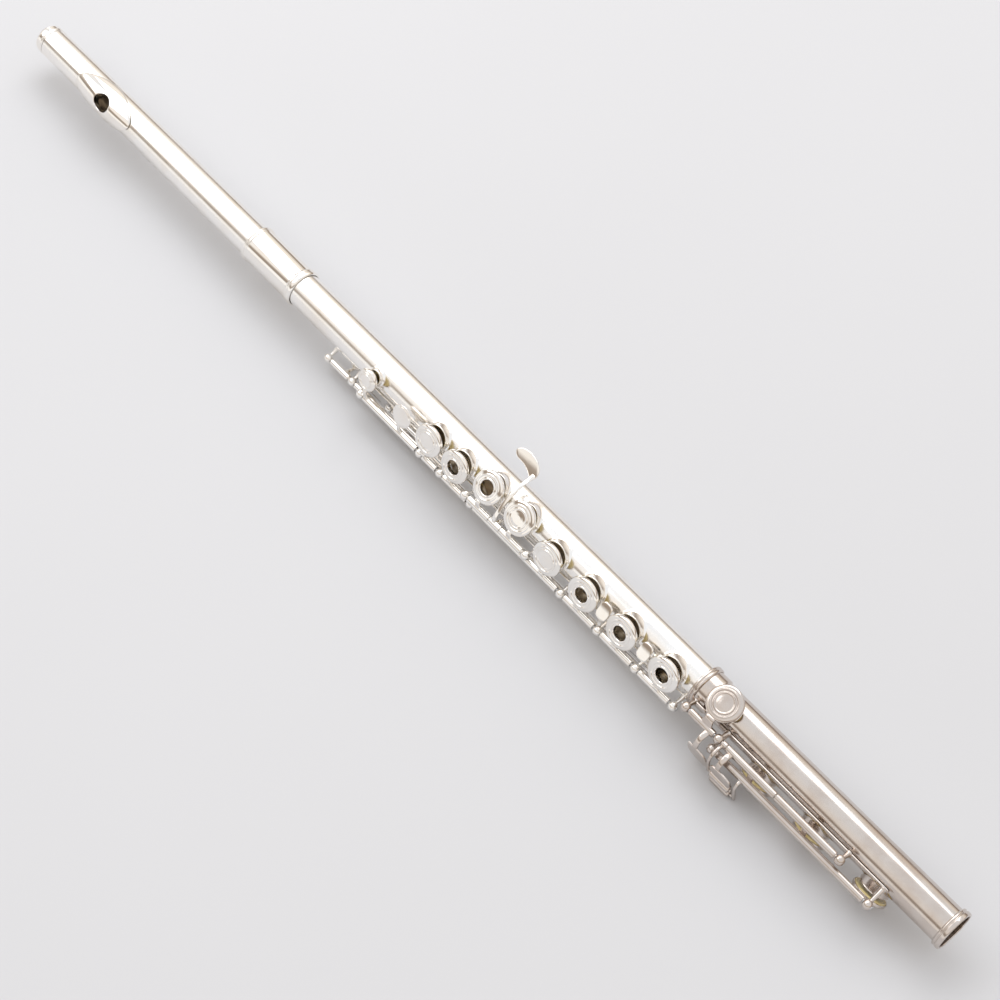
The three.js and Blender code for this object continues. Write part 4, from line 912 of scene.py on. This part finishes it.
def foot_keys():
    x, cup, _, angle, rim = HOLES["d_sharp"]
    paddle = smooth_line([(496, 4.6), (495.2, -2), (496.6, -9), (501, -12.7), (505.4, -11.9), (507.9, -7),
                          (508.2, -1),
                          (506.4, 3.2), (502.5, 4.9)], 8)
    curve = lambda x, f: 26.3 - 0.004 * (f + 4) ** 2
    key("d_sharp_key_work", "d_sharp_key", "d_sharp_assy", FOOT_LINE, 0, [hinge_tube(FOOT_LINE, 486.9, 503.1)],
        [(angle, cup_arm(FOOT_LINE, "d_sharp", 5.5)), (angle, moved(plain_cup(cup, rim), x)),
         (TOUCH_ANGLE, arm(FOOT_LINE, TOUCH_ANGLE, [(9.6, 21), (7, 24.4), (3, 25.6)], [3.4, 2.8, 3.2],
                           [1.8, 1.5, 1.2], 500)),
         (TOUCH_ANGLE, slab(paddle, lambda x, f: curve(x, f) - 1.1, curve, edge=0.4))])
    over = [(10.7, 20), (8.8, 24), (4.3, 25.2)]
    x, cup, _, angle, rim = HOLES["low_c_sharp"]
    plate = slab(oval(518, 1.7, 6.6, 3.7, 64, 0.55), 24.9, lambda x, f: 26.1 - 0.01 * (f - 1.7) ** 2, edge=0.35)
    key("low_c_sharp_key_work", "low_c_sharp_key", "low_c_sharp_assy", FOOT_LINE, LOW_OPEN,
        [hinge_tube(FOOT_LINE, 511.9, 543.7)],
        [(angle, cup_arm(FOOT_LINE, "low_c_sharp")), (angle, moved(plain_cup(cup, rim), x)),
         (TOUCH_ANGLE, arm(FOOT_LINE, TOUCH_ANGLE, over, [3.2, 2.8, 3.0], [1.7, 1.5, 1.2], 515.5)),
         (TOUCH_ANGLE, plate)])
    x, cup, _, angle, rim = HOLES["low_c"]
    pin = lambda y, x0, x1: moved(turned([(x0, 0), (x0, 0.6), (x0 + 0.1, 0.68), (x1 - 0.1, 0.68), (x1, 0.6),
                                          (x1, 0)], 24), 0, y, 24.6)
    key("low_c_key_work", "low_c_key", "low_c_assy", FOOT_LINE, LOW_OPEN,
        [steel(FOOT_LINE, 506.6, 587), hinge_tube(FOOT_LINE, 508.9, 511.5, True),
         hinge_tube(FOOT_LINE, 544.1, 582.1, True)],
        [(angle, cup_arm(FOOT_LINE, "low_c")), (angle, moved(plain_cup(cup, rim), x)),
         (TOUCH_ANGLE, arm(FOOT_LINE, TOUCH_ANGLE, over + [(0, 25), (-7.4, 24.6)], [1.7, 1.7, 1.7],
                           [1.7, 1.5, 1.6], 509.85)),
         (TOUCH_ANGLE, pin(-6.6, 510.2, 524.8))])
    x, cup, _, angle, rim = HOLES["low_b"]
    key("low_b_key_work", "low_b_key", "low_b_assy", LOW_B_LINE, LOW_OPEN, [hinge_tube(LOW_B_LINE, 508.9, 604.1)],
        [(angle, cup_arm(LOW_B_LINE, "low_b")), (angle, moved(plain_cup(cup, rim), x)),
         (TOUCH_ANGLE, arm(LOW_B_LINE, TOUCH_ANGLE, [(3.4, 23.6), (0, 25), (-6, 25), (-13.4, 24.6)],
                           [1.8, 1.7, 1.7], [1.7, 1.6, 1.6], 526.65)),
         (TOUCH_ANGLE, pin(-12.6, 511.2, 526.2))])
    made("low_c_roller_barrel", placed(roller(-6.6), lying(TOUCH_ANGLE, FOOT_LINE, LOW_OPEN)), BRIGHT, "c_roller",
         ("low_c_roller",), "bright")
    made("low_b_roller_barrel", placed(roller(-12.6), lying(TOUCH_ANGLE, LOW_B_LINE, LOW_OPEN)), BRIGHT, "b_roller",
         ("low_b_roller",), "bright")


PADS = {
    "c_sharp": ("c_sharp_assy", MAIN_LINE, STACK_OPEN), "thumb": ("thumb_assy", THUMB_LINE, LOW_OPEN),
    "b_flat": ("b_flat_assy", MAIN_LINE, STACK_OPEN), "a": ("a_assy", MAIN_LINE, STACK_OPEN),
    "g_upper": ("g_assy", G_LINE, STACK_OPEN), "g_lower": ("g_assy", G_LINE, STACK_OPEN),
    "g_sharp": ("g_sharp_assy", G_LINE, 0), "f_sharp": ("f_sharp_assy", MAIN_LINE, STACK_OPEN),
    "f": ("f_assy", MAIN_LINE, STACK_OPEN), "e": ("e_assy", MAIN_LINE, STACK_OPEN),
    "d": ("d_assy", MAIN_LINE, STACK_OPEN), "d_trill": ("d_trill_assy", TRILL_LINE, 0),
    "d_sharp_trill": ("d_sharp_trill_assy", TRILL_LINE, 0), "d_sharp": ("d_sharp_assy", FOOT_LINE, 0),
    "low_c_sharp": ("low_c_sharp_assy", FOOT_LINE, LOW_OPEN), "low_c": ("low_c_assy", FOOT_LINE, LOW_OPEN),
    "low_b": ("low_b_assy", LOW_B_LINE, LOW_OPEN),
}
RING_PADS = ("a", "g_upper", "f", "e", "d")


def pads():
    for hole, (body, line, opened) in PADS.items():
        shape = placed(pad(hole, hole in RING_PADS), lying(HOLES[hole][3], line, opened))
        piece = made("skin_pad_" + hole, shape, SKIN, body, ("pad_" + hole,), "pad", crease=60)


# ---- the stopper, inside the head --------------------------------------------------------
def stopper():
    for node, finish in (("stopper_screw", SILVER), ("stopper_cork", CORK), ("stopper_nut", STEEL)):
        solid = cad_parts[node]
        solid.data.materials.clear()
        solid.data.materials.append(finish)


# ---- studio --------------------------------------------------------------------------------
def camera():
    data = bpy.data.cameras.new("camera")
    data.sensor_width = 36
    data.lens = 79.2
    data.shift_x, data.shift_y = 0.078, -0.067
    data.clip_start, data.clip_end = 0.01, 20
    eye = bpy.data.objects.new("camera", data)
    right, up, back = (0.646787, 0.760521, 0.057218), (-0.643143, 0.50356, 0.576883), (0.409919, -0.40992, 0.81482)
    turn = Matrix((right, up, back)).transposed().to_4x4()
    eye.matrix_world = Matrix.Translation((0.46235, -0.47106, 0.94671)) @ turn
    bpy.context.scene.collection.objects.link(eye)
    bpy.context.scene.camera = eye


def softbox(name, at, size, watts, colour):
    data = bpy.data.lights.new(name, "AREA")
    data.shape, data.size, data.size_y = "RECTANGLE", size[0], size[1]
    data.energy, data.color = watts, colour
    lamp = bpy.data.objects.new(name, data)
    lamp.location = at
    lamp.rotation_mode = "QUATERNION"
    lamp.rotation_quaternion = (-Vector(at)).to_track_quat("-Z", "Y")
    bpy.context.scene.collection.objects.link(lamp)


# The room round the table: height above the horizon and what is seen there.
ROOM_BANDS = ((0.0, (0.3, 0.24, 0.2, 1)), (0.14, (0.34, 0.28, 0.23, 1)), (0.26, (0.68, 0.61, 0.54, 1)),
              (0.42, (1.0, 0.93, 0.84, 1)), (0.7, (0.85, 0.86, 0.88, 1)), (1.0, (0.9, 0.92, 0.95, 1)))
WINDOW_BANDS = ((0.0, (1.0, 0.97, 0.93, 1)), (0.2, (1.0, 0.99, 0.97, 1)), (0.27, (0.3, 0.24, 0.19, 1)),
                (0.42, (0.4, 0.34, 0.29, 1)), (0.52, (0.95, 0.9, 0.84, 1)), (1.0, (0.9, 0.92, 0.95, 1)))


def sky_bands(tree, height, bands):
    ramp = feed(tree, wired(tree, "ShaderNodeValToRGB"), Fac=height)
    stops = ramp.color_ramp.elements
    stops[0].position, stops[0].color = bands[0]
    stops[1].position, stops[1].color = bands[-1]
    for position, colour in bands[1:-1]:
        stops.new(position).color = colour
    return ramp.outputs["Color"]


def studio():
    side = 2.5
    mesh = bpy.data.meshes.new("floor")
    mesh.from_pydata([(-side, -side, 0), (side, -side, 0), (side, side, 0), (-side, side, 0)], [], [(0, 1, 2, 3)])
    paper = bpy.data.materials.new("pale_paper")
    paper.use_nodes = True
    tree = paper.node_tree
    place = wired(tree, "ShaderNodeTexCoord")
    cloud = feed(tree, wired(tree, "ShaderNodeTexNoise"), Vector=place.outputs["Object"], Scale=2.5, Detail=3.0)
    tone = feed(tree, wired(tree, "ShaderNodeMapRange"), Value=cloud.outputs["Fac"], To_Min=0.605, To_Max=0.635)
    cool = feed(tree, wired(tree, "ShaderNodeMath", operation="MULTIPLY"), i0=tone.outputs[0], i1=1.022)
    pale = feed(tree, wired(tree, "ShaderNodeCombineColor"), Red=tone.outputs[0], Green=tone.outputs[0],
                Blue=cool.outputs[0])
    feed(tree, tree.nodes["Principled BSDF"], Base_Color=pale.outputs[0], Roughness=0.8)
    mesh.materials.append(paper)
    floor = bpy.data.objects.new("floor", mesh)
    bpy.context.scene.collection.objects.link(floor)
    world = bpy.data.worlds.new("studio")
    bpy.context.scene.world = world
    world.use_nodes = True
    tree = world.node_tree
    place = wired(tree, "ShaderNodeTexCoord")
    split = feed(tree, wired(tree, "ShaderNodeSeparateXYZ"), Vector=place.outputs["Generated"])
    room = sky_bands(tree, split.outputs["Z"], ROOM_BANDS)
    window = sky_bands(tree, split.outputs["Z"], WINDOW_BANDS)
    toward = feed(tree, wired(tree, "ShaderNodeMapRange", interpolation_type="SMOOTHSTEP"),
                  Value=split.outputs["Y"], From_Min=0.1, From_Max=-0.55)
    both = wired(tree, "ShaderNodeMix", data_type="RGBA")
    tree.links.new(toward.outputs[0], both.inputs["Factor"])
    colours = [socket for socket in both.inputs if socket.type == "RGBA"]
    tree.links.new(room, colours[0])
    tree.links.new(window, colours[1])
    mixed = [socket for socket in both.outputs if socket.type == "RGBA"][0]
    feed(tree, tree.nodes["Background"], Color=mixed, Strength=1.06)
    softbox("main_softbox", (-0.85, 1.0, 1.8), (1.9, 1.5), 19, (0.99, 0.99, 1.0))
    softbox("fill_softbox", (-1.6, -0.6, 1.8), (1.6, 1.6), 12, (0.95, 0.97, 1.0))


camera()
studio()
bpy.context.scene.view_settings.view_transform = "Standard"
tubes_and_rings()
lip_plate()
ribs_and_posts()
needle_springs()
stack_keys()
g_sharp_key()
trill_keys()
thumb_keys()
foot_keys()
pads()
stopper()
